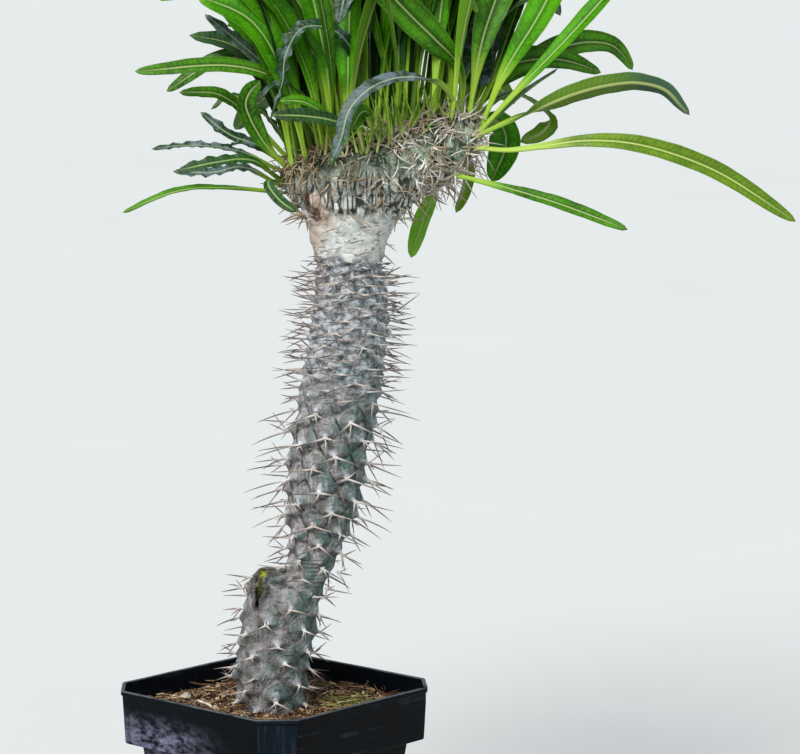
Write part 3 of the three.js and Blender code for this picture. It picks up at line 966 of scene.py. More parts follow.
@dataclass(frozen=True)
class HornFinish(Finish):
    """Spines: pale at the foot, tan along the shaft, dark at the point."""

    foot: Colour = tint(230, 226, 220)
    shaft: Colour = tint(166, 154, 150)
    point: Colour = tint(62, 46, 42)
    dry: Colour = tint(212, 200, 188)

    def paint(self, graph: Graph) -> dict[str, Socket]:
        """Builds this finish's own nodes.

        Args:
            graph: The material's nodes.

        Returns:
            What feeds the shader, by the name of its input.
        """
        along, tone = graph.attribute("along"), graph.attribute("tone")
        colour = graph.over(self.foot, self.shaft, graph.step(along, 0.1, 0.5))
        colour = graph.over(colour, self.dry, graph.step(tone, 0.6, 0.95))
        darker = graph.step(tone, 0.0, 1.0, 1.0, 0.6)
        colour = graph.over(colour, self.point, graph.step(along, 0.25, 0.85), darker)
        bands = graph.mottle(tint(156, 150, 142), tint(255, 255, 255), 260.0, 1500.0, 0.42, 0.2)
        return {"Base Color": graph.blend(0.8, colour, bands, "MULTIPLY"),
                "Normal": graph.bump(graph.grain(900.0, 2600.0, 0.5), 0.0001)}


@dataclass(frozen=True)
class LeafFinish(Finish):
    """A leathery blade: two greens, a pale midrib, faint side veins, painted shade along the rib, and a waxy
    bloom with a painted reflection of the sky on upper faces that look up.
    """

    dark: Colour = tint(10, 48, 2)
    light: Colour = tint(80, 152, 10)
    under: Colour = tint(96, 142, 30)
    rib: Colour = tint(184, 206, 128)
    petiole: Colour = tint(150, 188, 54)
    foot: Colour = tint(196, 206, 140)
    bloom: Colour = tint(140, 156, 168)
    bloom_amount: float = 0.0
    bloom_from: float = 0.36
    # How far the last third of the blade turns blue-grey.
    tail: float = 0.0
    dulled: Colour = tint(52, 82, 70)
    vein_depth: float = 0.00003

    def paint(self, graph: Graph) -> dict[str, Socket]:
        """Builds this finish's own nodes.

        Args:
            graph: The material's nodes.

        Returns:
            What feeds the shader, by the name of its input.
        """
        top, along, rimward = (graph.attribute(key) for key in ("upper", "along", "rimward"))
        colour = graph.mottle(self.dark, self.light, 34.0, 380.0, 0.48, 0.2)
        colour = graph.over(colour, self.under, graph.step(top, 0.6, 0.4))
        # `across` and `run` are in millimetres on the blade; the veins leave the rib at a slant.
        off = graph.math("ABSOLUTE", graph.attribute("across"))
        phase = graph.plus(graph.times(graph.attribute("run"), 1.9), graph.times(off, -1.1),
                           graph.times(graph.noise(60.0), 9.0))
        veins = graph.math("POWER", graph.times(graph.plus(graph.math("SINE", phase), 1.0), 0.5), 3.0)
        colour = graph.over(colour, self.rib, veins, 0.07)
        # Painted shade: the blade is darker in the hollow along its rib and where it turns over towards the
        # edge.
        hollow = graph.math("MAXIMUM", graph.step(rimward, 0.45, 0.12),
                            graph.step(rimward, 0.66, 0.86, 0.0, 0.6))
        colour = graph.over(colour, self.dark, hollow, graph.step(top, 0.4, 0.6, 0.6, 1.0), 0.65)
        if self.tail:
            tail = graph.step(graph.plus(along, graph.times(graph.noise(70.0), 0.12)), 0.66, 0.86)
            colour = graph.over(colour, self.dulled, tail, self.tail)
        colour = graph.over(colour, self.under, graph.step(rimward, 0.86, 1.0, 0.0, 0.4))
        waxy = graph.noise(130.0, 4.0, 0.6)
        # Waxy bloom and a painted reflection of the sky, on upper faces that look up.
        bloom_and_sky_reflection = graph.times(graph.step(waxy, self.bloom_from, 0.62), graph.step(top, 0.4, 0.6),
                           graph.step(graph.facing()[2], -0.2, 0.6, 0.3, 1.0))
        colour = graph.over(colour, self.bloom, bloom_and_sky_reflection, self.bloom_amount)
        half = graph.step(top, 0.4, 0.6, 1.0, 0.36)
        midrib = graph.step(off, graph.plus(half, 0.5), graph.times(half, 0.5))
        colour = graph.over(colour, self.rib, midrib, graph.step(along, 1.0, 0.8, 0.2, 0.68))
        colour = graph.over(colour, self.petiole, graph.attribute("stalk"), 0.85)
        colour = graph.over(colour, self.foot, graph.step(along, 0.05, 0.0), 0.6)
        soft = graph.bump(graph.grain(260.0, 1400.0, 0.3), 0.00025, 0.8)
        return {"Base Color": colour, "Normal": graph.bump(veins, self.vein_depth, normal=soft),
                "Roughness": graph.plus(graph.step(waxy, 0.3, 0.7, 0.3, 0.46), graph.times(bloom_and_sky_reflection, 0.14))}


@dataclass(frozen=True)
class StudioFinish(Finish):
    """The plain pale floor, which throws less light back than it shows."""

    low: Colour = tint(215, 217, 216)
    high: Colour = tint(219, 221, 220)
    thrown: Colour = tint(176, 178, 174)

    def paint(self, graph: Graph) -> dict[str, Socket]:
        """Builds this finish's own nodes.

        Args:
            graph: The material's nodes.

        Returns:
            What feeds the shader, by the name of its input.
        """
        seen = graph.result("ShaderNodeLightPath", None, "Is Camera Ray")
        cloth = graph.mottle(self.low, self.high, 0.9, 6.0, 0.5, 0.3)
        return {"Base Color": graph.blend(seen, self.thrown, cloth)}


# ------ studio


@dataclass
class Studio:
    """Pale floor, soft daylight from the front left, and the camera."""

    floor_radius: float = 300.0
    camera_at: tuple[float, float, float] = (-0.0278, -1.8226, 0.5533)
    yaw: float = math.radians(3.314)
    pitch: float = math.radians(6.933)
    lens: float = 135.0
    sensor: float = 36.0
    sky: Colour = tint(231, 236, 236)
    daylight: Colour = tint(190, 196, 201)
    sun_from: tuple[float, float, float] = (-0.42, -0.78, 0.85)
    sun_strength: float = 2.9
    sun_spread: float = math.radians(30)
    sun_colour: tuple[float, float, float] = (1.0, 0.985, 0.96)

    def build(self) -> None:
        """Makes the floor, the lights and the camera."""
        self.floor()
        self.lights()
        self.camera()

    def floor(self) -> None:
        """Lays a round floor under the pot."""
        ring = at_height(circle(64, self.floor_radius), 0.0)
        made = make_object("studio_floor", ring, [tuple(range(len(ring)))], soft=False)
        dress(made, StudioFinish("studio_cloth", 0.95, 0.1).build())

    def lights(self) -> None:
        """Sets an even pale sky and one broad sun."""
        world = bpy.data.worlds.new("studio_sky")
        world.use_nodes = True
        graph = Graph(world.node_tree)
        seen = graph.result("ShaderNodeLightPath", None, "Is Camera Ray")
        shown = graph.blend(seen, self.daylight, self.sky)
        graph.feed(world.node_tree.nodes["Background"].inputs["Color"], shown)
        bpy.context.scene.world = world
        lamp = bpy.data.lights.new("window", "SUN")
        lamp.energy = self.sun_strength
        lamp.angle = self.sun_spread
        lamp.color = self.sun_colour
        made = linked("window", lamp)
        made.rotation_mode = "QUATERNION"
        made.rotation_quaternion = Vector(self.sun_from).to_track_quat("Z", "Y")

    def camera(self) -> None:
        """Stands the camera in front of the plant, looking slightly down."""
        data = bpy.data.cameras.new("camera")
        data.lens = self.lens
        data.sensor_width = self.sensor
        data.clip_end = 1000.0
        made = linked("camera", data)
        made.location = self.camera_at
        made.rotation_euler = (math.pi / 2 - self.pitch, 0.0, -self.yaw)
        bpy.context.scene.camera = made
        bpy.context.scene.view_settings.view_transform = "Standard"


# ------ pot


@dataclass
class NurseryPot:
    """The square pot with cut corners, its straight collar and its rolled lip."""

    height: float = 0.140
    wall: float = 0.0017
    floor: float = 0.0024
    collar_height: float = 0.033
    lip_height: float = 0.0032
    lip_step: float = 0.0007
    lip_edge: float = 0.0006
    bend: float = 0.0026
    # Reaches from the axis to a side and to a cut corner's face.
    rim: Pair = (0.076, 0.09475)
    collar_foot: Pair = (0.0732, 0.09195)
    body_top: Pair = (0.068, 0.0815)
    base: Pair = (0.053, 0.064)
    base_bevel: float = 0.0015
    hole_radii: Pair = (0.0065, 0.004)
    hole_reaches: Pair = (0.050, 0.040)
    drill_levels: Pair = (-0.005, 0.008)
    warp: float = 0.0006
    nick: Pair = (0.0925, -0.0118)
    longest_step: float = 0.0065

    @property
    def shoulder(self) -> float:
        """Height of the step under the collar."""
        return self.height - self.collar_height

    def outline(self, flat: float, corner: float, side_points: int = 26, cut_points: int = 6,
                bend_steps: int = 5) -> Array:
        """One level's outline: a square standing on a corner, its corners cut and bent round.

        Args:
            flat: Distance from the axis to a side.
            corner: Distance from the axis to a cut corner's face.
            side_points: Points between two corners.
            cut_points: Points across a cut corner's face.
            bend_steps: Steps round each bend.

        Returns:
            The points in the level's plane.
        """
        turn = math.pi / 4
        half = flat * math.sqrt(2) - corner - self.bend * math.tan(turn / 2)
        arc = np.linspace(0, turn, bend_steps + 1)
        out = corner - self.bend + self.bend * np.cos(arc)
        across = half + self.bend * np.sin(arc)
        face = np.linspace(-half, half, cut_points + 2)[1:-1]
        one = np.concatenate([
            np.stack([out[::-1], -across[::-1]], axis=1),
            np.stack([np.full(cut_points, corner), face], axis=1),
            np.stack([out, across], axis=1),
        ])
        corners = [one @ np.array([[math.cos(a), math.sin(a)], [-math.sin(a), math.cos(a)]])
                   for a in np.arange(4) * math.pi / 2]
        shares = np.linspace(0, 1, side_points + 2)[1:-1, None]
        parts = []
        for here, following in zip(corners, corners[1:] + corners[:1]):
            parts += [here, here[-1] * (1 - shares) + following[0] * shares]
        return np.concatenate(parts)

    def body_section(self, z: float) -> Pair:
        """The tapered body's two reaches at a height."""
        share = z / self.shoulder
        return tuple(a + (b - a) * share for a, b in zip(self.base, self.body_top))

    def collar_section(self, z: float) -> Pair:
        """The collar's two reaches at a height."""
        share = (z - self.shoulder) / self.collar_height
        return tuple(a + (b - self.lip_step - a) * share for a, b in zip(self.collar_foot, self.rim))

    def profile(self) -> Array:
        """The wall's profile from the base's edge up, over the lip and down inside.

        Returns:
            Rows of flat reach, corner reach and height.
        """
        body, collar, wall = self.body_section, self.collar_section, self.wall
        lip_foot, hip, step = self.height - self.lip_height, self.shoulder - wall, self.shoulder + wall
        # Each knot: its two reaches, its height, how far it is set in, and the radius of its bend.
        knots = np.array([(size[0] - inset, size[1] - inset, z, radius) for size, z, inset, radius in (
            (self.base, 0.0, self.base_bevel, 0.0008), (body(self.base_bevel), self.base_bevel, 0.0, 0.0008),
            (body(hip), hip, 0.0, 0.0012), (self.collar_foot, self.shoulder, 0.0, 0.0009),
            (collar(lip_foot), lip_foot, 0.0, 0.0004), (self.rim, lip_foot + self.lip_edge, 0.0, 0.0004),
            (self.rim, self.height - self.lip_edge, 0.0, 0.0005),
            (self.rim, self.height, self.lip_edge, 0.0003),
            (collar(self.height), self.height, wall, 0.0005), (collar(step), step, wall, 0.001),
            (body(self.shoulder), self.shoulder, wall, 0.001), (body(self.floor), self.floor, wall, 0.002),
        )])
        rows = [knots[0, :3]]
        for before, here, after in zip(knots[:-2], knots[1:-1], knots[2:]):
            lead, trail = before[:3] - here[:3], after[:3] - here[:3]
            reach = min(here[3], 0.45 * np.linalg.norm(lead), 0.45 * np.linalg.norm(trail))
            start, end = here[:3] + unit(lead) * reach, here[:3] + unit(trail) * reach
            rows += [(1 - t) ** 2 * start + 2 * t * (1 - t) * here[:3] + t**2 * end
                     for t in np.linspace(0, 1, 5)]
        rows.append(knots[-1, :3])
        parts = [rows[0][None]]
        for start, end in zip(rows[:-1], rows[1:]):
            count = max(1, math.ceil(np.linalg.norm(end - start) / self.longest_step))
            shares = np.linspace(0, 1, count + 1)[1:, None]
            parts.append(start * (1 - shares) + end * shares)
        return np.concatenate(parts)

    def warped(self, ring: Array, z: float, inner: bool) -> Array:
        """One level with the collar's slight waves, which only draw it in.

        Args:
            ring: The level's outline.
            z: Its height.
            inner: Whether it lies on the inside wall.

        Returns:
            The level's points in space.
        """
        angle = np.arctan2(ring[:, 1], ring[:, 0])
        waves = (0.5 + 0.22 * np.sin(7 * angle + 0.6) + 0.18 * np.sin(13 * angle + 2.1)
                 + 0.1 * np.sin(29 * angle))
        amount = self.warp * smooth_step(z, self.shoulder, self.height) * waves
        flat = ring * (1 - amount / np.linalg.norm(ring, axis=1))[:, None]
        points = at_height(flat, z)
        if z > self.height - self.lip_height - self.wall and not inner:
            near = np.exp(-((flat - np.array(self.nick)) ** 2).sum(axis=1) / (2 * 0.0013**2))
            points[:, 2] -= 0.0011 * near
            points[:, :2] *= (1 - 0.009 * near)[:, None]
        return points

    def build(self) -> Thing:
        """Makes the pot.

        Returns:
            The pot, in its finish.
        """
        rows = self.profile()
        top = int(np.argmax(rows[:, 2]))
        rings = [self.warped(self.outline(flat, corner), z, i > top + 3)
                 for i, (flat, corner, z) in enumerate(rows)]
        pot = make_object("nursery_pot", *loft(rings, (0.0, 0.0, 0.0), (0.0, 0.0, self.floor)))
        drills = [self.drill(k) for k in range(8)]
        for drill in drills:
            cut = pot.modifiers.new("drain", "BOOLEAN")
            cut.operation = "DIFFERENCE"
            cut.solver = "EXACT"
            cut.object = drill
        settle(pot)
        discard(drills)
        sharpen(pot, math.radians(50))
        dress(pot, PotPlastic("pot_plastic", 0.4, 0.1).build())
        return register(pot, "pot_plastic", "pot")

    def drill(self, number: int) -> Thing:
        """A round cutter for one of the eight drain holes.

        Args:
            number: Which hole it is.

        Returns:
            The cutter.
        """
        angle, size = number * math.pi / 4, number % 2
        centre = self.hole_reaches[size] * np.array([math.cos(angle), math.sin(angle)])
        flat = circle(32, self.hole_radii[size]) + centre
        rings = [at_height(flat, z) for z in self.drill_levels]
        ends = [(*centre, z) for z in self.drill_levels]
        return make_object(f"drill_{number}", *loft(rings, *ends))


def sharpen(piece: Thing, angle: float) -> None:
    """Marks edges that bend more than an angle as sharp, so that flat faces shade flat.

    Args:
        piece: The piece.
        angle: The angle in radians.
    """
    work = bmesh.new()
    work.from_mesh(piece.data)
    for edge in work.edges:
        if len(edge.link_faces) == 2:
            edge.smooth = edge.calc_face_angle(0.0) < angle
    for face in work.faces:
        face.smooth = True
    work.to_mesh(piece.data)
    work.free()


# ------ threads: spines, fibres, needles


def thread_recipe() -> Recipe:
    """Sweeps lines that carry a thickness to tapering solids.

    Returns:
        The geometry tree's recipe.
    """
    recipe = Recipe("tapered_thread", SHAPING, dict(Geometry=GEOMETRY, Sides=5, Finish=MATERIAL),
                    dict(Geometry=GEOMETRY))
    line = recipe.result("GeometryNodeMeshToCurve", {"Mesh": recipe.at})
    curve = recipe.result("GeometryNodeSetCurveRadius", {"Curve": line, "Radius": recipe.carried("thickness")})
    profile = recipe.result("GeometryNodeCurvePrimitiveCircle",
                            {"Resolution": recipe.given["Sides"], "Radius": 1.0})
    sweep = recipe.node("GeometryNodeCurveToMesh",
                        {"Curve": curve, "Profile Curve": profile, "Fill Caps": True})
    if "Scale" in sweep.inputs:
        recipe.feed(sweep.inputs["Scale"], recipe.result("GeometryNodeInputRadius"))
    return recipe.dressed(recipe.result("GeometryNodeSetShadeSmooth", {"Geometry": sweep.outputs[0]}))


THREAD = thread_recipe()


class Threads:
    """Thin tapering threads, gathered as lines and swept to solids together."""

    def __init__(self, name: str, sides: int = 5) -> None:
        """Starts an empty gathering.

        Args:
            name: The name of the piece that the threads become.
            sides: Faces round each thread.
        """
        self.name = name
        self.sides = sides
        self.lines: list[Array] = []
        self.radii: list[Array] = []
        self.tones: list[float] = []

    def add(self, line: Array, radii: Pair, tone: float, belly: float = 0.6) -> None:
        """Adds one thread.

        Args:
            line: The points along it.
            radii: Its radii at the first and at the last point.
            tone: Its own tone from 0 to 1.
            belly: Power of the taper: under 1 the thread stays thick for longer.
        """
        foot, point = radii
        self.lines.append(line)
        self.radii.append(point + (foot - point) * (1 - np.linspace(0, 1, len(line))) ** belly)
        self.tones.append(tone)

    def grow(self, start: Array, heading: Array, length: float, bend: Array, radii: Pair, tone: float,
             belly: float) -> None:
        """Adds a thread that leaves its start along a heading and drifts aside.

        Args:
            start: The first point.
            heading: The direction of length one that it leaves in.
            length: Its length.
            bend: How far the end is drawn aside.
            radii: Its radii at both ends.
            tone: Its own tone from 0 to 1.
            belly: Power of the taper.
        """
        t = np.linspace(0, 1, 6)[:, None]
        self.add(start + heading * (length * t) + bend * t**2, radii, tone, belly)

    def build(self, material: Material) -> Thing:
        """Sweeps every line.

        Args:
            material: The threads' finish.

        Returns:
            The piece.
        """
        lengths = [len(line) for line in self.lines]
        starts = np.cumsum([0] + lengths[:-1])
        edges = [(int(s) + i, int(s) + i + 1) for s, n in zip(starts, lengths) for i in range(n - 1)]
        made = make_object(self.name, np.concatenate(self.lines), [], edges, {
            "thickness": np.concatenate(self.radii),
            "along": np.concatenate([np.linspace(0, 1, n) for n in lengths]),
            "tone": np.repeat(self.tones, lengths),
        })
        THREAD.apply(made, Sides=self.sides, Finish=material)
        return settle(made)


# ------ potting mix


def scatter_recipe() -> Recipe:
    """Scatters the shapes of a collection over the faces that carry `open`.

    Returns:
        The geometry tree's recipe.
    """
    recipe = Recipe("scattered_crumbs", SHAPING, dict(
        Geometry=GEOMETRY, Shapes=COLLECTION, Spacing=0.003, Density=60000.0, Smallest=0.5, Largest=1.3,
        Tilt=0.6, Lift=0.0005, Seed=1, Finish=MATERIAL), dict(Geometry=GEOMETRY))
    mesh, shapes, spacing, density, smallest, largest, tilt, lift, seed, *_ = recipe.given
    points = recipe.result("GeometryNodeDistributePointsOnFaces", {
        "Mesh": mesh, "Distance Min": spacing, "Density Max": density, "Density Factor": recipe.carried("open"),
        "Seed": seed}, "Points", distribute_method="POISSON")
    lean, half_turn = recipe.scaled((1.0, 1.0, 0.0), tilt), (0.0, 0.0, math.pi)
    least = recipe.vector("SUBTRACT", recipe.scaled(lean, -1.0), half_turn)
    most = recipe.vector("ADD", lean, half_turn)
    turn = recipe.result("FunctionNodeRandomValue", {0: least, 1: most, "Seed": seed}, data_type="FLOAT_VECTOR")
    size, tone = (
        recipe.result("FunctionNodeRandomValue", {2: low, 3: high, "Seed": seed}, 1, data_type="FLOAT")
        for low, high in ((smallest, largest), (0.0, 1.0)))
    offset = recipe.result("ShaderNodeCombineXYZ", {"Z": lift})
    raised = recipe.result("GeometryNodeSetPosition", {"Geometry": points, "Offset": offset})
    marked = recipe.result("GeometryNodeStoreNamedAttribute", {
        "Geometry": raised, "Name": "tone", "Value": tone}, data_type="FLOAT", domain="POINT")
    picked = recipe.result("GeometryNodeCollectionInfo", {
        "Collection": shapes, "Separate Children": True, "Reset Children": True})
    return recipe.dressed(recipe.result("GeometryNodeInstanceOnPoints", {
        "Points": marked, "Instance": picked, "Pick Instance": True, "Rotation": turn, "Scale": size}))


def lump(name: str, size: Point, rng: Random, fineness: int, roughness: float) -> Thing:
    """A broken lump.

    Args:
        name: The object's name.
        size: Its full size along X, Y and Z.
        rng: Where its unevenness comes from.
        fineness: Subdivisions of the ball that it starts as.
        roughness: How uneven it is, as a share of its size.

    Returns:
        The lump at the origin.
    """
    work = bmesh.new()
    bmesh.ops.create_icosphere(work, subdivisions=fineness, radius=0.5)
    offset = Vector(rng.uniform(-50, 50, 3))
    for vertex in work.verts:
        swell = 1.0 - roughness * 0.5 + roughness * noise.fractal(vertex.co * 3 + offset, 1.0, 2.0, 4)
        vertex.co = Vector((c * s * swell for c, s in zip(vertex.co, size)))
    return object_from(work, name)


@dataclass
class PottingMix:
    """The soil, the crumbs and needles on it, and the larger chips and stones."""

    pot: NurseryPot
    top: float = 0.127
    ripple: float = 0.0012
    crumb: float = 0.0007
    gap: float = 0.0003
    # Where the trunk stands in the plane, and how much room it takes.
    trunk: tuple[float, float, float] = (-0.0017, 0.0, 0.021)
    twig: tuple[Pair, Pair] = ((-0.0475, -0.0050), (-0.0385, -0.0200))
    fork: Pair = (-0.0215, -0.0425)
    dry_count: int = 620
    green_count: int = 34
    seed: int = 11

    def height(self, x: Array, y: Array) -> Array:
        """Height of the bed's broad swells, the same as the solid soil's.

        Args:
            x: Places along X.
            y: Places along Y.

        Returns:
            The heights.
        """
        across, along = np.asarray(x) / MM, np.asarray(y) / MM
        ripple = np.sin(across / 13 + 1.1) * np.cos(along / 11 - 0.4)
        crumb = np.sin(across / 4.3 - along / 5.1) * np.sin(along / 3.7 + across / 9.2)
        return self.top + self.ripple * ripple + self.crumb * crumb

    def build(self) -> None:
        """Makes the bed and everything that lies on it."""
        rng = np.random.default_rng(self.seed)
        self.crumbs(self.bed(), rng)
        self.needles(rng)
        self.stones_and_chips(rng)

    def bed(self) -> Thing:
        """The soil itself: a filled block with a crumbly top.

        Returns:
            The soil, in its finish.
        """
        pot, inset, ledge = self.pot, self.pot.wall + self.gap, 2 * self.gap

        def ring(section: Pair, z: float) -> Array:
            """One level of the block's side."""
            return at_height(pot.outline(section[0] - inset, section[1] - inset, 52, 14), z)

        step, bottom = pot.shoulder + pot.wall + ledge, pot.floor + self.gap
        rim = pot.collar_section(self.top)
        edge = ring(rim, self.top)[:, :2]
        rings = [ring(pot.body_section(bottom), bottom),
                 ring(pot.body_section(pot.shoulder), pot.shoulder + ledge),
                 ring(pot.collar_section(step), step), ring(rim, self.top - 0.004)]
        for share in np.linspace(1, 0.02, 64):
            flat = edge * share
            rough = np.array([noise.fractal(Vector((x * 180, y * 180, 3.0)), 0.7, 2.1, 4) for x, y in flat])
            fine = np.array([noise.noise(Vector((x * 620, y * 620, 9.0))) for x, y in flat])
            rings.append(at_height(flat, self.height(*flat.T) + 0.0013 * rough + 0.0006 * fine - 0.0008))
        points, faces = loft(rings, (0, 0, bottom), (0, 0, self.top))
        distance = np.hypot(points[:, 0] - self.trunk[0], points[:, 1] - self.trunk[1])
        exposed = (points[:, 2] > self.top - 0.006) & (distance > self.trunk[2])
        tones = np.random.default_rng(self.seed + 1).uniform(0.0, 0.55, len(points))
        made = make_object("potting_mix", points, faces, (), {"open": exposed.astype(float), "tone": tones})
        finish = CrumbFinish("peat", 0.95, 0.2, tint(26, 20, 16), tint(82, 58, 42), relief=0.0008)
        return register(dress(made, finish.build()), "potting_mix", "soil")

    def crumbs(self, bed: Thing, rng: Random) -> None:
        """Scatters bark chips, crumbs and grit over the bed.

        Args:
            bed: The soil.
            rng: Where the crumbs' shapes come from.
        """
        bark = CrumbFinish("bark_crumb", 0.85, 0.3, tint(58, 44, 36), tint(158, 126, 98), tint(240, 216, 184))
        peat = CrumbFinish("peat_crumb", 0.9, 0.3, tint(40, 32, 27), tint(124, 100, 80), tint(220, 196, 166))
        # Each kind has its name, slot, finish, sizes and room to the wall in millimetres, and its spread.
        kinds = (
            ("bark_flakes", "bark", bark,
             ((7.0, 3.2, 1.4), (5.4, 2.4, 1.2), (4.2, 3.4, 1.1), (9.0, 2.2, 1.3)), 4.4,
             dict(Spacing=0.0027, Density=170000.0, Smallest=0.4, Largest=1.25, Tilt=0.7, Lift=0.0008)),
            ("peat_crumbs", "potting_mix", peat, ((1.8, 1.4, 1.1), (1.4, 1.2, 1.0), (2.2, 1.2, 0.9)), 1.3,
             dict(Spacing=0.0015, Density=400000.0, Smallest=0.5, Largest=1.3, Tilt=1.2, Lift=0.0003)),
            ("pumice_grit", "pumice", StoneFinish("grit", 0.9, 0.3),
             ((2.6, 2.2, 1.9), (3.2, 2.6, 2.2), (1.8, 1.6, 1.4)), 2.4,
             dict(Spacing=0.007, Density=16000.0, Smallest=0.5, Largest=1.2, Tilt=1.2, Lift=0.0007)),
        )
        recipe = scatter_recipe()
        scene = bpy.context.scene.collection
        places = vertex_rows(bed.data)
        faces = [tuple(face.vertices) for face in bed.data.polygons]
        to_wall = self.wall_gap(places[:, 0], places[:, 1])
        bare = np.array([mark.value for mark in bed.data.attributes["open"].data])
        for seed, (name, slot, finish, sizes, clear, spread) in enumerate(kinds, 1):
            shapes = bpy.data.collections.new(name + "_shapes")
            scene.children.link(shapes)
            for i, size in enumerate(sizes):
                shape = lump(f"{name}_shape_{i}", np.array(size) * MM, rng, 1, 0.9)
                scene.objects.unlink(shape)
                shapes.objects.link(shape)
            made = make_object(name, places, faces, (), {"open": bare * (to_wall > clear * MM)})
            recipe.apply(made, Shapes=shapes, Seed=seed, Finish=finish.build(), **spread)
            settle(made)
            discard(shapes.objects)
            bpy.data.collections.remove(shapes)
            register(made, slot)

    def needles(self, rng: Random) -> None:
        """Lays dry needles, straws and fibres on the bed.

        Args:
            rng: Where their places and sizes come from.
        """
        dry, green, pale = Threads("dry_needles"), Threads("green_needles"), Threads("pale_twigs", 6)
        for _ in range(self.dry_count):
            self.lay(dry, self.spot(rng), rng.uniform(0, ROUND), rng.uniform(5, 19) * MM,
                     rng.uniform(0.16, 0.48) * MM, rng.uniform(0, 1), rng)
        for _ in range(self.green_count):
            spot = np.array([rng.uniform(0.027, 0.048), rng.uniform(-0.014, 0.022)])
            self.lay(green, spot, rng.uniform(-0.5, 0.5), rng.uniform(9, 18) * MM,
                     rng.uniform(0.3, 0.5) * MM, rng.uniform(0, 1), rng)
        start, end = np.array(self.twig)
        aside = np.array([-(end - start)[1], (end - start)[0]]) * 0.18
        t = np.linspace(0, 1, 10)[:, None]
        flat = start * (1 - t) + end * t + aside * np.sin(t * math.pi)
        level = self.height(*flat.T) + 0.0022 + 0.003 * (1 - t[:, 0]) ** 2
        pale.add(at_height(flat, level), (0.0009, 0.0006), 0.95)
        for angle, length in ((0.3, 9), (1.6, 11), (2.7, 10), (4.4, 8)):
            self.lay(pale, np.array(self.fork), angle, length * MM, 0.0008, 0.9, rng)
        for threads, name, roughness, *colours in (
            (dry, "straw", 0.8, tint(84, 58, 38), tint(164, 124, 82), tint(224, 206, 168)),
            (green, "green_straw", 0.7, tint(92, 104, 40), tint(150, 158, 76), tint(206, 208, 140)),
            (pale, "bleached_twig", 0.75, tint(150, 140, 126), tint(214, 206, 192), tint(240, 236, 226)),
        ):
            register(threads.build(CrumbFinish(name, roughness, 0.3, *colours).build()), "potting_mix")

    def wall_gap(self, x: Array, y: Array) -> Array:
        """How far places on the bed lie from the inside of the wall.

        Args:
            x: Places along X.
            y: Places along Y.

        Returns:
            The distances, below zero in the wall.
        """
        flat, corner = (reach - self.pot.wall for reach in self.pot.collar_section(self.top))
        to_sides = flat - np.maximum(np.abs(x + y), np.abs(x - y)) / math.sqrt(2)
        return np.minimum(to_sides, corner - np.maximum(np.abs(x), np.abs(y)))

    def spot(self, rng: Random) -> Array:
        """A random place on the bed, clear of the trunk and the wall.

        Args:
            rng: Where it comes from.

        Returns:
            Its X and Y.
        """
        while True:
            place = rng.uniform(-0.09, 0.09, 2)
            clear = np.hypot(place[0] - self.trunk[0], place[1] - self.trunk[1]) > self.trunk[2] + 0.002
            if clear and self.wall_gap(*place) > 0.005:
                return place

    def lay(self, threads: Threads, spot: Array, heading: float, length: float, radius: float,
            tone: float, rng: Random) -> None:
        """Lays one thread along the bed.

        Args:
            threads: The gathering that it joins.
            spot: Where it starts.
            heading: Its direction in the plane.
            length: Its length.
            radius: Its radius.
            tone: Its own tone.
            rng: Where its curl and lift come from.
        """
        t = np.linspace(0, 1, 6)
        turn = heading + rng.uniform(-0.7, 0.7) * t
        step = length / 5
        x, y = (start + np.concatenate([[0], np.cumsum(part(turn[:-1]) * step)])
                for start, part in zip(spot, (np.cos, np.sin)))
        drawn_in = 1 + 1.4 * np.minimum(self.wall_gap(x, y) - 0.0012, 0) / np.hypot(x, y)
        x, y = x * drawn_in, y * drawn_in
        lift = 0.0011 + rng.uniform(0, 0.0016) + rng.uniform(0, 0.0028) * t * (rng.random() < 0.35)
        z = np.minimum(self.height(x, y) + lift, self.pot.height - 0.002)
        threads.add(np.column_stack([x, y, z]), (radius, radius * 0.35), tone, 0.5)

    def stones_and_chips(self, rng: Random) -> None:
        """Replaces the plain chips and stones with broken ones of the same size and place.

        Args:
            rng: Where their shapes come from.
        """
        bark = CrumbFinish("old_bark", 0.85, 0.3, tint(58, 38, 28), tint(112, 74, 50),
                           tint(190, 140, 100), 0.0006)
        for slot, finish, roughness, nodes in (
            ("bark", bark.build(), 0.55, ("bark_chip_back", "bark_chip_right")),
            ("pumice", StoneFinish("pumice", 0.92, 0.3).build(), 0.3, ("pumice_large", "pumice_small")),
        ):
            for node in nodes:
                low, high = (np.array(corner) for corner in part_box(node))
                made = lump(node + "_broken", (high - low) * 0.99, rng, 4, roughness)
                points = vertex_rows(made.data)
                span = points.max(axis=0) - points.min(axis=0)
                fitted = (points - points.min(axis=0)) / span * (high - low) + low
                move_vertices(made.data, fitted)
                carry(made.data, {"tone": np.clip(0.5 + 18 * (fitted[:, 2] - fitted[:, 2].mean()), 0, 1)})
                register(dress(made, finish), slot, node)


# ------ stem


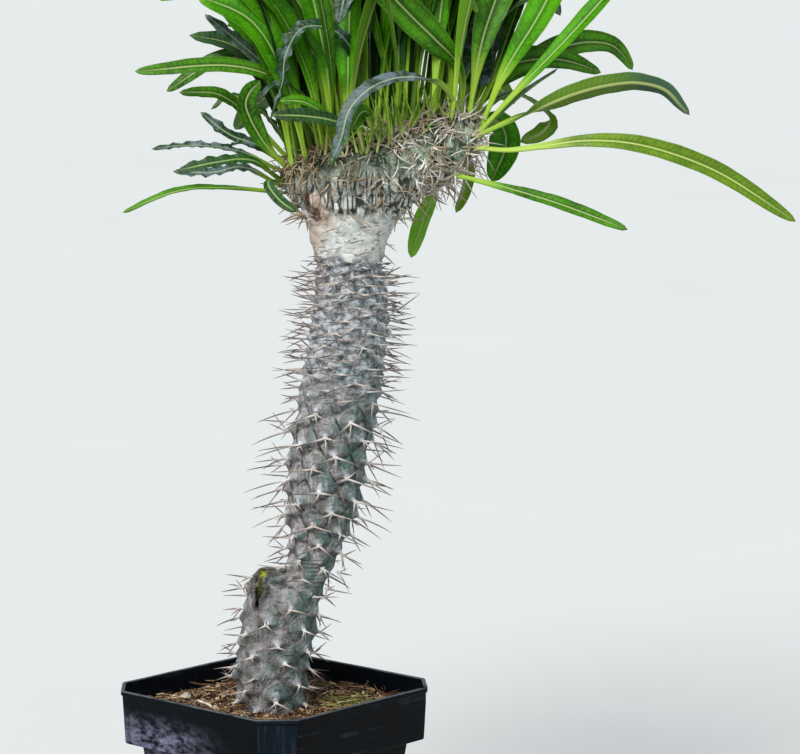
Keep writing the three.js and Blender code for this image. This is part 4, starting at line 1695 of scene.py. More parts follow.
def cushion_recipe() -> Recipe:
    """Raises a drooping cushion over the field of each areole of a skin.

    Returns:
        The geometry tree's recipe.
    """
    recipe = Recipe("areole_cushions", SHAPING, dict(
        Geometry=GEOMETRY, Zone=TEXT, Height=0.005, Droop=0.4, Peak=0.3, Sharpness=1.5, Finish=MATERIAL),
        dict(Geometry=GEOMETRY))
    skin, zone, height, droop, sharp_share, sharpness, *_ = recipe.given
    share = recipe.carried("field")
    dome = recipe.math("SUBTRACT", 1.0, recipe.times(share, share))
    peak = recipe.math("POWER", recipe.math("SUBTRACT", 1.0, share, clamp=True), sharpness)
    rest = recipe.math("SUBTRACT", 1.0, sharp_share)
    shape = recipe.plus(recipe.times(dome, rest), recipe.times(peak, sharp_share))
    amount = recipe.times(recipe.times(shape, recipe.carried("rise")),
                          recipe.times(recipe.carried(zone), height))
    down = recipe.result("ShaderNodeCombineXYZ", {"Z": recipe.times(droop, -1.0)})
    heading = recipe.vector("NORMALIZE", recipe.vector("ADD", recipe.result("GeometryNodeInputNormal"), down))
    return recipe.dressed(recipe.result("GeometryNodeSetPosition", {
        "Geometry": skin, "Offset": recipe.scaled(heading, amount)}))


@dataclass(frozen=True)
class Cushion:
    """The form of a band's tubercles."""

    height: float
    droop: float
    squash: float
    peak: float
    sharpness: float
    sunk: float


CUSHIONS = {
    Zone.TRUNK: Cushion(0.0066, 0.75, 1.0, 0.75, 1.9, 0.0024),
    Zone.RINGS: Cushion(0.0031, 0.3, 1.8, 0.55, 1.6, 0.0012),
    Zone.NECK: Cushion(0.0009, 0.3, 1.9, 0.4, 1.5, 0.0002),
    Zone.CREST: Cushion(0.0034, 0.1, 0.36, 0.2, 2.0, 0.0016),
}


@dataclass(frozen=True)
class Site:
    """One areole: where it stands, which way it looks and how high its cushion is."""

    place: Array
    normal: Array
    zone: Zone
    rise: float

    def tip(self) -> Array:
        """The top of its cushion."""
        form = CUSHIONS.get(self.zone, CUSHIONS[Zone.RINGS])
        return self.place + unit(self.normal - UP * form.droop) * form.height * self.rise


@dataclass
class Stem:
    """The stump, the younger stem that grew from its shoulder, and the broad crest."""

    # Places across and heights of both axes, in millimetres.
    stump_axis: tuple = ((-1, 104), (-1.7, 137), (-2, 155), (3, 181), (6, 204))
    stem_axis: tuple = ((11, 192), (22.8, 216), (28.4, 243), (31, 268), (35.5, 293), (40.5, 317),
                        (44.3, 342), (46.8, 367), (47.4, 385), (46.8, 409), (46.6, 432))
    rings_from: float = 0.316
    collar_from: float = 0.397
    neck_from: float = 0.407
    crest_from: float = 0.431
    skin_step: float = 0.0041
    crest_spacing: float = 0.0054
    wander: float = 0.0014
    neck_wander: float = 0.0034
    waist_at: float = 0.211
    waist_reach: float = 0.011
    hollow: tuple[float, float, float] = (-0.009, -0.015, 0.204)
    hollow_size: tuple[float, float, float] = (0.0064, 0.0062, 0.0115)
    # Height, place across and half width of the torn slit, in millimetres.
    slit_form: tuple = ((190.5, -11.2, 0), (192.5, -11.2, 1.3), (194.5, -11.2, 1.4), (196, -11.1, 0.8),
                        (197.5, -10.8, 1.6), (200, -10.1, 2.8), (203.5, -9.5, 3.4), (206, -10.3, 2.6),
                        (208.5, -10.0, 2.8), (211.5, -8.0, 3.2), (214, -6.5, 2.8), (216, -5.6, 0))
    slit_depth: float = 0.005
    # Steps of the trunk's spiral by height, and the one step of the stump's.
    climb_steps: tuple = ((0.305, 0.33, 0.396, 0.41, 0.432), (0.00165, 0.00066, 0.00048, 0.0009, 0.0013))
    stump_climb: float = 0.00165
    skin_reach: float = 0.034
    seed: int = 23
    skin: Thing | None = None
    sites: list[Site] = field(default_factory=list)
    bands: dict[Zone, Array] = field(default_factory=dict)

    def build(self, cad: Thing) -> None:
        """Makes the skin and finds the areoles.

        Args:
            cad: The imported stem's object.
        """
        rng = np.random.default_rng(self.seed)
        self.skin = self.smooth_body(cad)
        tree = BVHTree.FromObject(self.skin, bpy.context.evaluated_depsgraph_get())
        self.sites = self.trunk_sites(tree, rng) + self.crest_sites(rng)
        self.raise_cushions(StemSkin("stem_skin", 0.72, 0.25).build())
        register(self.skin, "stem_skin", "stem")

    def smooth_body(self, cad: Thing) -> Thing:
        """The CAD stem's form with its facets rounded and an even fine mesh.

        Args:
            cad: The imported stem's object.

        Returns:
            The skin.
        """
        work = bmesh.new()
        work.from_mesh(cad.data)
        bmesh.ops.remove_doubles(work, verts=work.verts, dist=1e-6)
        filling = Matrix.Translation(self.hollow) @ Matrix.Diagonal((*self.hollow_size, 1.0))
        bmesh.ops.create_icosphere(work, subdivisions=3, radius=1.0, matrix=filling)
        made = object_from(work, "palm_stem")
        remesh = made.modifiers.new("even", "REMESH")
        remesh.mode = "VOXEL"
        remesh.voxel_size = self.skin_step
        even = made.modifiers.new("round", "SMOOTH")
        even.factor = 0.5
        even.iterations = 10
        fine = made.modifiers.new("fine", "SUBSURF")
        fine.levels = fine.render_levels = 2
        settle(made)
        soften(made.data)
        self.shape_body(made.data)
        return made

    def shape_body(self, mesh: Mesh) -> None:
        """Draws the body in by the cushions' mean height, tears the slit, and marks the zones.

        Args:
            mesh: The skin's mesh.
        """
        points, out = vertex_rows(mesh), vertex_rows(mesh, "normal")
        z = points[:, 2]
        slit, rim = self.slit(points)
        calm = 1 - np.clip(slit * 3 + rim, 0, 1)
        over_rings = smooth_step(z, self.rings_from - 0.006, self.rings_from + 0.01)
        over_neck = smooth_step(z, self.neck_from - 0.003, self.neck_from + 0.003)
        over_crest = smooth_step(z, self.crest_from - 0.004, self.crest_from + 0.004)
        waist = np.exp(-((z - self.waist_at) / self.waist_reach) ** 2) * smooth_step(points[:, 0], 0.004, 0.012)
        self.bands = {
            Zone.TRUNK: (1 - over_rings) * calm * (1 - 0.8 * waist), Zone.RINGS: over_rings - over_neck,
            Zone.NECK: over_neck - over_crest, Zone.CREST: over_crest,
        }
        lumps, fray = (np.array([noise.fractal(Vector(p) * scale, 1.0, 2.0, 3) for p in points])
                       for scale in (70, 260))
        frayed = points + 0.002 * fray[:, None]
        core = self.streak(points + 0.0008 * fray[:, None], (0.0175, 0.444), (0.0265, 0.43), 0.0034)
        peeled = np.maximum(self.streak(frayed, (0.024, 0.441), (0.0335, 0.428), 0.0052),
                            0.6 * self.streak(frayed, (0.026, 0.426), (0.025, 0.412), 0.005))
        # A painted highlight along the slit's upper left edge.
        torn = 0.8 * self.streak(points, (-0.0118, 0.205), (-0.0096, 0.2112), 0.0008)
        offset = 0.0009 * lumps * calm - 0.0014 * core + 0.0009 * rim
        for zone, share in self.bands.items():
            offset -= CUSHIONS[zone].sunk * share
        straight_in = np.outer(slit, [0.15, 1.0, 0.0]) * self.slit_depth
        move_vertices(mesh, points + out * offset[:, None] + straight_in)
        marks = {zone.value: share for zone, share in self.bands.items()}
        marks |= {"slit": smooth_step(slit, 0.2, 0.7), "rim": rim, "core": core, "peeled": peeled, "torn": torn}
        carry(mesh, marks)

    def slit(self, points: Array) -> tuple[Array, Array]:
        """The torn slit in the stump.

        Args:
            points: Points of the skin.

        Returns:
            How deep the slit is at each point and how high its rim, both from 0 to 1.
        """
        form = np.array(self.slit_form) * MM
        wobble = np.array([noise.noise(Vector(p) * 420) for p in points]) * 0.0009
        middle = np.interp(points[:, 2], form[:, 0], form[:, 1])
        half = np.interp(points[:, 2], form[:, 0], form[:, 2])
        across = np.abs(points[:, 0] - middle) + wobble
        front = smooth_step(-points[:, 1], 0.004, 0.008)
        depth = smooth_step(1 - across / np.maximum(half, 1e-5), 0.0, 0.5) * front
        band = np.exp(-((across - half - 0.0009) / 0.0008) ** 2) * (half > 0.0004) * front
        crown = smooth_step(points[:, 2], 0.2095, 0.2125) * smooth_step(points[:, 0], 0.004, -0.002)
        return depth, np.clip(np.maximum(band, 0.9 * crown) * (1 - depth), 0, 1)

    def streak(self, points: Array, start: Pair, end: Pair, reach: float) -> Array:
        """1 along a segment on the stem's front, falling to 0 away from it.

        Args:
            points: Points in space.
            start: X and Z of the segment's start.
            end: X and Z of its end.
            reach: How far from it the mark goes.

        Returns:
            One number a point.
        """
        flat, first = points[:, [0, 2]], np.array(start)
        along = np.array(end) - first
        share = np.clip((flat - first) @ along / (along @ along), 0, 1)
        distance = np.linalg.norm(flat - first - share[:, None] * along, axis=1)
        return (1 - smooth_step(distance, 0.55 * reach, reach)) * (points[:, 1] < 0.004)

    def zone_at(self, z: float) -> Zone:
        """The band that a height of the younger stem lies in."""
        limits = ((self.rings_from, Zone.TRUNK), (self.collar_from, Zone.RINGS), (self.neck_from, Zone.COLLAR))
        return next((zone for limit, zone in limits if z < limit), Zone.NECK)

    def trunk_sites(self, tree: BVHTree, rng: Random) -> list[Site]:
        """Areoles in golden-angle spirals up the stump and up the younger stem.

        Args:
            tree: The skin's search tree.
            rng: Where each site's small error comes from.

        Returns:
            The sites.
        """
        found: list[Site] = []
        for axis, start, end, phase, flat in (
            (self.stump_axis, 0.112, 0.2065, math.radians(48), 0.82),
            (self.stem_axis, 0.20575, self.crest_from, math.pi, 1.0),
        ):
            z, n = start, 0
            heights, aside = [row[1] * MM for row in axis], [row[0] * MM for row in axis]
            while z < end:
                angle = phase - n * GOLDEN_TURN + rng.normal(0, 0.05)
                ray = Vector((math.sin(angle), -math.cos(angle), rng.normal(0, 0.03)))
                origin = Vector((np.interp(z, heights, aside), 0.0, z))
                hit, normal, _, distance = tree.ray_cast(origin, ray.normalized())
                if hit is not None and distance < self.skin_reach and self.clear(np.array(hit)):
                    rise = flat * rng.uniform(0.8, 1.15)
                    found.append(Site(np.array(hit), np.array(normal), self.zone_at(z), rise))
                z += self.stump_climb if axis is self.stump_axis else float(np.interp(z, *self.climb_steps))
                n += 1
        return found

    def clear(self, place: Array) -> bool:
        """Whether a site lies outside the slit.

        Args:
            place: The site's place.

        Returns:
            False in the slit and close beside it.
        """
        form = np.array(self.slit_form) * MM
        level = form[0, 0] - 0.002 < place[2] < form[-1, 0]
        middle, half = (np.interp(place[2], form[:, 0], form[:, k]) for k in (1, 2))
        return not (level and place[1] < -0.005 and abs(place[0] - middle) < half + 0.004)

    def crest_sites(self, rng: Random) -> list[Site]:
        """Areoles spread evenly over the crest, closer across than up.

        Args:
            rng: Where the spread comes from.

        Returns:
            The sites.
        """
        points, out = vertex_rows(self.skin.data), vertex_rows(self.skin.data, "normal")
        pool = np.nonzero(points[:, 2] > self.crest_from - 0.001)[0]
        squash = np.array([1.0, 1.0, CUSHIONS[Zone.CREST].squash])
        taken: dict[tuple, list] = {}
        found: list[Site] = []
        for index in rng.permutation(pool):
            spot = points[index] * squash
            cell = tuple((spot // self.crest_spacing).astype(int))
            around = [other for dx in (-1, 0, 1) for dy in (-1, 0, 1) for dz in (-1, 0, 1)
                      for other in taken.get((cell[0] + dx, cell[1] + dy, cell[2] + dz), [])]
            if all(np.linalg.norm(spot - other) > self.crest_spacing for other in around):
                taken.setdefault(cell, []).append(spot)
                found.append(Site(points[index], out[index], Zone.CREST, rng.uniform(0.6, 1.3)))
        return found

    def mark_fields(self) -> None:
        """Marks each point with its place in the field of its nearest areole.

        `field` is 0 at the areole and 1 at the border of the next one's field, `lower` is above 0
        beneath the areole, and `rise` is how high its cushion stands.
        """
        points = vertex_rows(self.skin.data)
        noise.seed_set(self.seed)
        wander = np.array([noise.noise_vector(Vector(p) * 85) for p in points])
        marks = {key: np.zeros(len(points)) for key in ("field", "rise", "lower")}
        for zone, band in self.bands.items():
            squash = np.array([1.0, 1.0, CUSHIONS[zone].squash])
            chosen = [s for s in self.sites if (s.zone is Zone.CREST) == (zone is Zone.CREST)]
            tree = KDTree(len(chosen))
            for number, site in enumerate(chosen):
                tree.insert(Vector(site.place * squash), number)
            tree.balance()
            unevenness = self.neck_wander if zone is Zone.NECK else self.wander
            for index in np.nonzero(band > 0)[0]:
                spot = Vector((points[index] + wander[index] * unevenness) * squash)
                (_, number, near), (_, _, far) = tree.find_n(spot, 2)
                site, half = chosen[number], (near + far) / 2
                marks["field"][index] += band[index] * near / half
                marks["rise"][index] += band[index] * site.rise
                marks["lower"][index] += band[index] * (site.place[2] - points[index][2]) / half
        total = np.maximum(sum(self.bands.values()), 1e-4)
        carry(self.skin.data, {key: values / total for key, values in marks.items()})

    def raise_cushions(self, finish: Material) -> None:
        """Raises the tubercles of the trunk and the ribs of the crest.

        Args:
            finish: The skin's finish.
        """
        self.mark_fields()
        recipe = cushion_recipe()
        for zone, form in CUSHIONS.items():
            recipe.apply(self.skin, Zone=zone.value, Height=form.height, Droop=form.droop,
                         Peak=form.peak, Sharpness=form.sharpness, Finish=finish)
        dress(settle(self.skin), finish)


@dataclass
class Armour:
    """The spines: long pairs on the trunk, short rings above, a dry tangle round the crest."""

    stem: Stem
    seed: int = 5
    # Heights on the stem and the mean length of the long spines there.
    trunk_length: tuple = ((0.11, 0.2, 0.228, 0.262, 0.32), (0.016, 0.015, 0.016, 0.025, 0.025))
    rings_length: Pair = (0.014, 0.024)
    # How many spines an areole above the trunk has, and their length beside those of the rings.
    ring_spines: dict[Zone, tuple[int, float]] = field(default_factory=lambda: {
        Zone.RINGS: (3, 1.0), Zone.COLLAR: (3, 0.42), Zone.NECK: (1, 0.62)})
    web_from: float = 0.451
    web_count: int = 1900
    web_length: Pair = (0.007, 0.016)
    shoot_count: int = 260
    shoot_length: Pair = (0.010, 0.028)
    shoots_from: float = 0.03
    shoots_above: float = 0.4485

    def build(self) -> None:
        """Makes both sets of spines and the young shoots among them."""
        rng = np.random.default_rng(self.seed)
        trunk, tangle, shoots = Threads("trunk_spines", 6), Threads("crest_spines", 4), Threads("young_shoots")
        for site in self.stem.sites:
            if site.zone is not Zone.CREST:
                self.arm(trunk, site, rng)
        for site in self.stem.sites:
            if site.zone is Zone.CREST:
                self.tangle(tangle, site, rng)
        self.web(tangle, rng)
        self.sprout(shoots, np.random.default_rng(self.seed + 1))
        horn = HornFinish("horn", 0.6, 0.3)
        dry = HornFinish("dry_horn", 0.7, 0.25, tint(172, 160, 136), tint(192, 177, 146),
                         tint(150, 124, 98), tint(255, 255, 250))
        young = HornFinish("young_green", 0.55, 0.35, tint(190, 204, 120), tint(140, 184, 44),
                           tint(96, 148, 26), tint(196, 206, 120))
        register(trunk.build(horn.build()), "stem_skin")
        register(tangle.build(dry.build()), "stem_skin")
        register(shoots.build(young.build()), "leaf_blade")

    def sprout(self, threads: Threads, rng: Random) -> None:
        """Stands young shoots between the leaves' feet on the higher side of the crest.

        Args:
            threads: The gathering that they join.
            rng: Where their places and leans come from.
        """
        points, out = vertex_rows(self.stem.skin.data), vertex_rows(self.stem.skin.data, "normal")
        # The crest's top climbs to the right.
        topmost = (points[:, 2] - 0.35 * points[:, 0] > self.shoots_above) & (out[:, 2] > 0.2)
        pool = np.nonzero(topmost & (points[:, 0] > self.shoots_from))[0]
        for index in rng.choice(pool, self.shoot_count, replace=False):
            heading = unit(out[index] * rng.uniform(0.2, 0.8) + UP * 0.9 + rng.normal(0, 0.3, 3))
            length = rng.uniform(*self.shoot_length)
            threads.grow(points[index] - heading * 0.0015, heading, length, rng.normal(0, 0.14, 3) * length,
                         (rng.uniform(0.0007, 0.0012), 0.0002), rng.random(), 0.7)

    def arm(self, threads: Threads, site: Site, rng: Random) -> None:
        """Gives an areole of the trunk its pair of long spines and a short one, or a ring of short ones.

        Args:
            threads: The gathering that they join.
            site: The areole.
            rng: Where their small differences come from.
        """
        sideways = unit(np.cross(UP, site.normal) + np.array([1e-6, 0, 0]))
        down = unit(np.cross(sideways, site.normal))
        foot = site.tip()
        if site.zone is Zone.TRUNK:
            mean = float(np.interp(site.place[2], *self.trunk_length))
            low, high = 0.84 * mean, 1.16 * mean
            for sign in (-1, 1):
                heading = unit(site.normal * rng.uniform(0.5, 0.8) + sideways * sign * rng.uniform(0.55, 0.85)
                               + down * rng.uniform(-0.05, 0.4))
                length = rng.uniform(low, high)
                bend = (down * rng.uniform(-0.08, 0.16) + sideways * sign * rng.uniform(-0.02, 0.12)) * length
                threads.grow(foot - heading * 0.0015, heading, length, bend, (0.00078, 0.00008),
                             rng.random(), 0.85)
            heading = unit(site.normal * 0.6 + down * rng.choice([-0.6, 0.7, 0.8])
                           + sideways * rng.normal(0, 0.3))
            length = rng.uniform(0.35, 0.7) * high
            bend = sideways * rng.normal(0, 0.1) * length
            threads.grow(foot - heading * 0.001, heading, length, bend, (0.0006, 0.00008), rng.random(), 0.85)
            return
        bare = rng.random() >= 0.7
        count, scale = self.ring_spines[site.zone]
        for k in range(0 if site.zone is Zone.NECK and bare else count):
            sign = (-1, 1)[k % 2]
            heading = unit(site.normal * rng.uniform(0.35, 0.85) + sideways * sign * rng.uniform(0.35, 1.0)
                           + down * rng.normal(0.05, 0.14))
            length = rng.uniform(*self.rings_length) * scale * (1.0 if k < 2 else 0.65)
            bend = (down * rng.normal(0, 0.07) + sideways * sign * rng.uniform(0, 0.16)) * length
            threads.grow(foot - heading * 0.0012, heading, length, bend, (0.00066, 0.00008),
                         rng.random(), 0.85)

    def tangle(self, threads: Threads, site: Site, rng: Random) -> None:
        """Gives an areole of the crest a few short curled spines.

        Args:
            threads: The gathering that they join.
            site: The areole.
            rng: Where their curls come from.
        """
        foot = site.tip() - site.normal * 0.001
        at_end = smooth_step(site.place[0], 0.09, 0.115)
        for _ in range(int(rng.choice([1, 2, 2]))):
            loose = unit(rng.normal(0, 1, 3))
            heading = unit(site.normal * rng.uniform(0.1, 0.5 + 0.9 * at_end) + loose * 0.8 + UP * 0.12)
            length = rng.uniform(0.007, 0.015 + 0.008 * at_end)
            curl = unit(np.cross(heading, rng.normal(0, 1, 3))) * rng.uniform(0.2, 0.7) * length
            threads.grow(foot - heading * 0.0008, heading, length, curl * (1 - 0.7 * at_end),
                         (rng.uniform(0.0004, 0.0009), 0.00014), self.bleached(foot[0], rng), 0.7)

    def bleached(self, x: float, rng: Random) -> float:
        """The tone of a dry spine: brown on the crest's left, paler to the right."""
        return float(0.55 * rng.random() + 0.45 * smooth_step(x, 0.02, 0.07))

    def web(self, threads: Threads, rng: Random) -> None:
        """Covers the crest with old curled spines that lie along it.

        Args:
            threads: The gathering that they join.
            rng: Where their places and curls come from.
        """
        points, out = vertex_rows(self.stem.skin.data), vertex_rows(self.stem.skin.data, "normal")
        pool = np.nonzero(points[:, 2] > self.web_from)[0]
        for index in rng.choice(pool, self.web_count, replace=False):
            if noise.noise(Vector(points[index]) * 75) < -0.12:
                continue
            normal = out[index]
            flat = unit(np.cross(normal, rng.normal(0, 1, 3)))
            heading = unit(flat + normal * rng.uniform(0.1, 0.55))
            length = rng.uniform(*self.web_length)
            curl = (np.cross(normal, flat) * rng.normal(0, 0.4) - normal * rng.uniform(0.05, 0.4)) * length
            threads.grow(points[index] + normal * rng.uniform(-0.0004, 0.0012), heading, length, curl,
                         (rng.uniform(0.00036, 0.00072), 0.00018), self.bleached(points[index][0], rng), 0.6)


# ------ leaves


class Tone(Enum):
    """The leaf colours of the crown."""

    FRESH = "fresh"
    BRIGHT = "bright"
    DEEP = "deep"
    DUSKY = "dusky"
    FROSTED = "frosted"
    LIT = "lit"
    OLIVE = "olive"
    GOLDEN = "golden"


LEAF_FINISHES = {
    Tone.FRESH: LeafFinish("leaf_fresh", 0.38, 0.18),
    Tone.BRIGHT: LeafFinish("leaf_bright", 0.38, 0.18, tint(30, 98, 1), tint(86, 168, 6), tint(112, 164, 30),
                            petiole=tint(168, 204, 66)),
    Tone.DEEP: LeafFinish("leaf_deep", 0.42, 0.3, tint(10, 42, 5), tint(32, 86, 14), tint(58, 104, 20),
                          tint(160, 190, 110), tint(96, 140, 34), bloom_amount=0.06, vein_depth=0.00008),
    Tone.DUSKY: LeafFinish("leaf_dusky", 0.48, 0.32, tint(14, 42, 22), tint(44, 82, 44), tint(66, 106, 36),
                           tint(170, 186, 150), bloom=tint(126, 142, 156), bloom_amount=0.6, vein_depth=0.0001),
    Tone.FROSTED: LeafFinish("leaf_frosted", 0.46, 0.32, tint(8, 36, 12), tint(30, 76, 32), tint(60, 104, 34),
                             tint(170, 190, 150), bloom=tint(128, 146, 158), bloom_amount=0.7, bloom_from=0.47,
                             vein_depth=0.0001),
    # Painted light: brighter greens for the one leaf that hangs in the crown's shade.
    Tone.LIT: LeafFinish("leaf_lit", 0.4, 0.2, tint(112, 190, 30), tint(158, 230, 62), tint(168, 230, 84),
                         tint(216, 240, 150)),
    Tone.OLIVE: LeafFinish("leaf_olive", 0.42, 0.25, tint(20, 66, 10), tint(52, 108, 24), tint(90, 128, 30),
                           tint(206, 220, 140), tail=0.85),
    Tone.GOLDEN: LeafFinish("leaf_golden", 0.38, 0.24, tint(66, 102, 8), tint(116, 152, 24), tint(128, 160, 44),
                            tint(206, 222, 130), tint(176, 206, 84)),
}


@dataclass(frozen=True)
class LeafLook:
    """How one leaf is dressed: its tone, how crinkled and how wide it is, and where its face looks."""

    tone: Tone = Tone.FRESH
    wave: float = 0.35
    pitch: float = 13.0
    notch: float = 0.0
    twist: float = 0.0
    widen: float = 1.0
    face: tuple[float, float, float] | None = None
    # Under 1 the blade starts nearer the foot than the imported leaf's does.
    early: float = 1.0


LOOKS = {
    "leaf_left_low": LeafLook(Tone.FRESH, 0.2, 16),
    "leaf_left_tucked": LeafLook(Tone.DEEP, 0.2, 12),
    "leaf_left_rolled": LeafLook(Tone.DUSKY, 1.3, 8, 0.3),
    "leaf_left_folded": LeafLook(Tone.DEEP, 1.2, 9, 0.25),
    "leaf_left_ribbon": LeafLook(Tone.FROSTED, 0.8, 7, 0.3),
    "leaf_left_short": LeafLook(Tone.DEEP, 0.9, 7, 0.3),
    "leaf_left_crinkled": LeafLook(Tone.FROSTED, 1.6, 7, 0.4),
    "leaf_left_broad": LeafLook(Tone.FRESH, 0.4, 16, widen=1.15),
    "leaf_left_mid": LeafLook(Tone.FRESH, 0.4, 14),
    "leaf_left_hook": LeafLook(Tone.DEEP, 1.1, 8, 0.4),
    "leaf_left_long": LeafLook(Tone.FRESH, 0.2, 18),
    "leaf_left_arch": LeafLook(Tone.FRESH, 0.2, 18),
    "leaf_left_grey": LeafLook(Tone.DUSKY, 0.9, 9, 0.35),
    "leaf_left_high": LeafLook(Tone.FRESH, 0.3, 14),
    "leaf_top_left_bright": LeafLook(Tone.BRIGHT, 0.25, 20, widen=1.2, face=(-0.5, -1, 0.5)),
    "leaf_top_left_wide": LeafLook(Tone.FRESH, 0.25, 20, widen=1.2, face=(-0.5, -1, 0.5)),
    "leaf_curled_arch": LeafLook(Tone.FROSTED, 1.5, 8, 0.35, twist=0.9, widen=1.6, face=(-0.2, -1, 0.9)),
    "leaf_small_blue": LeafLook(Tone.DUSKY, 0.5, 10, widen=1.3),
    "leaf_inner_bright": LeafLook(Tone.FRESH, 0.4, 14),
    "leaf_inner_dark": LeafLook(Tone.DEEP, 0.7, 7, 0.15),
    "leaf_front_arch": LeafLook(Tone.DUSKY, 0.35, 9, face=(-0.6, -1, 0.7)),
    "leaf_front_short": LeafLook(Tone.FRESH, 0.3, 12),
    "leaf_top_dark": LeafLook(Tone.FRESH, 0.3, 18, widen=1.15, face=(-0.3, -1, 0.3), early=0.66),
    "leaf_top_bent": LeafLook(Tone.FROSTED, 0.4, 12, widen=1.7, face=(0.1, -1, 0.4), early=0.7),
    "leaf_up_c": LeafLook(Tone.FROSTED, 0.7, 10, 0.2, widen=1.2, face=(-0.2, -1, 0.8)),
    "leaf_right_behind": LeafLook(Tone.FRESH, 0.2, 18, widen=1.25, face=(0.2, -1, 0.5)),
    "leaf_top_blue": LeafLook(Tone.DUSKY, 0.4, 12, widen=1.3),
    "leaf_right_grey": LeafLook(Tone.DUSKY, 0.3, 12, widen=1.3, face=(0.1, -1, 0.3)),
    "leaf_right_bright": LeafLook(Tone.BRIGHT, 0.15, 20),
    "leaf_right_slim": LeafLook(Tone.BRIGHT, 0.15, 20),
    "leaf_right_dark": LeafLook(Tone.FRESH, 0.25, 14, widen=1.1, early=0.7),
    "leaf_right_great": LeafLook(Tone.GOLDEN, 0.2, 24, widen=0.85),
    "leaf_right_low": LeafLook(Tone.FRESH, 0.2, 20),
    "leaf_right_hanging": LeafLook(Tone.BRIGHT, 0.2, 18, widen=1.1, face=(-0.4, -1, 0.1)),
    "leaf_hanging_mid": LeafLook(Tone.BRIGHT, 0.2, 18),
    "leaf_hanging_left": LeafLook(Tone.LIT, 0.2, 18, face=(-0.7, -1, 0.5)),
    "leaf_right_edge": LeafLook(Tone.DEEP, 0.2, 18, widen=1.5),
    "leaf_right_long": LeafLook(Tone.OLIVE, 0.25, 18, widen=1.1, face=(0.3, 1, 0.5), early=0.8),
    "leaf_up_e": LeafLook(Tone.BRIGHT, 0.25, 18),
    **{f"leaf_up_{letter}": LeafLook(Tone.DEEP, 0.25, 18) for letter in "adg"},
    **{f"leaf_back_{side}": LeafLook(Tone.DEEP, 0.25, 18, widen=1.2) for side in ("left", "mid")},
}
STALK_WIDTH = 3 * MM


@dataclass
class LeafPath:
    """A leaf's midrib: centres, upper-face normals, widths and how much of it is blade."""

    centre: Array
    upper: Array
    width: Array
    blade: Array

    @classmethod
    def from_node(cls, node: Thing, skin: BVHTree) -> "LeafPath":
        """Reads the midrib back from a packed leaf, whose sections are rings of four points.

        Args:
            node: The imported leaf's object.
            skin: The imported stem's search tree, which tells the foot from the tip.

        Returns:
            The path from foot to tip.
        """
        work = bmesh.new()
        work.from_mesh(node.data)
        bmesh.ops.remove_doubles(work, verts=work.verts, dist=2e-6)
        poles = [v for v in work.verts if len(v.link_edges) == 4]
        pole = min(poles, key=lambda v: skin.find_nearest(v.co)[3])
        rings, seen, layer = [], {pole}, [pole]
        while layer:
            rings.append(np.array([v.co for v in layer]))
            following = {e.other_vert(v) for v in layer for e in v.link_edges} - seen
            seen |= following
            layer = sorted(following, key=lambda v: v.index)
        work.free()
        # A section's depth falls by `drop` from stalk to blade, and its keel's depth with it.
        stalk_depth, drop, keel_stalk, keel_blade = 2.4 * MM, 1.0 * MM, 1.4 * MM, 0.95 * MM
        centre, upper, width, blade = [rings[0][0]], [], [0.0], [0.0]
        for number, ring in enumerate(rings[1:-1]):
            gaps = np.linalg.norm(ring[:, None] - ring[None], axis=2)
            one, two = np.unravel_index(np.argmax(gaps), gaps.shape)
            middle = (ring[one] + ring[two]) / 2
            others = sorted(set(range(4)) - {int(one), int(two)},
                            key=lambda k: np.linalg.norm(ring[k] - middle))
            channel, keel = ring[others[0]], ring[others[1]]
            depth = float(np.linalg.norm(channel - keel))
            share = 0.0 if number == 0 else float(np.clip((stalk_depth - depth) / drop, 0, 1))
            face = (channel - keel) / depth
            below = (0.75 if number == 0 else 1.0) * (keel_stalk + (keel_blade - keel_stalk) * share)
            centre.append(keel + face * below)
            upper.append(face)
            width.append(float(gaps[one, two]) if number else STALK_WIDTH)
            blade.append(share)
        centre.append(rings[-1][0])
        faces = np.array([upper[0], *upper, upper[-1]])
        return cls(np.array(centre), faces, np.array([*width, 0.0]), np.array([*blade, blade[-1]]))

    @classmethod
    def drawn(cls, points: Array, width: float, first_upper: Array, turn: float) -> "LeafPath":
        """A path for an extra leaf.

        Args:
            points: Its bends from foot to tip.
            width: The blade's width.
            first_upper: The way that its upper face looks at the foot.
            turn: How far the face is turned about the midrib.

        Returns:
            The path.
        """
        line = resample(points, 12)
        upper, turned = first_upper, []
        for heading in unit(np.gradient(line, axis=0)):
            upper = unit(upper - heading * float(upper @ heading))
            turned.append(upper * math.cos(turn) + np.cross(heading, upper) * math.sin(turn))
        blade = np.interp(np.linspace(0, 1, 12), [0.1, 0.21, 0.33, 0.46, 0.6, 0.74, 0.86, 0.95, 1.0],
                          [0, 0.12, 0.48, 0.82, 1, 0.95, 0.74, 0.42, 0.2])
        widths = STALK_WIDTH + (width - STALK_WIDTH) * blade
        widths[[0, -1]] = 0.0
        return cls(line, np.array(turned), widths, blade)


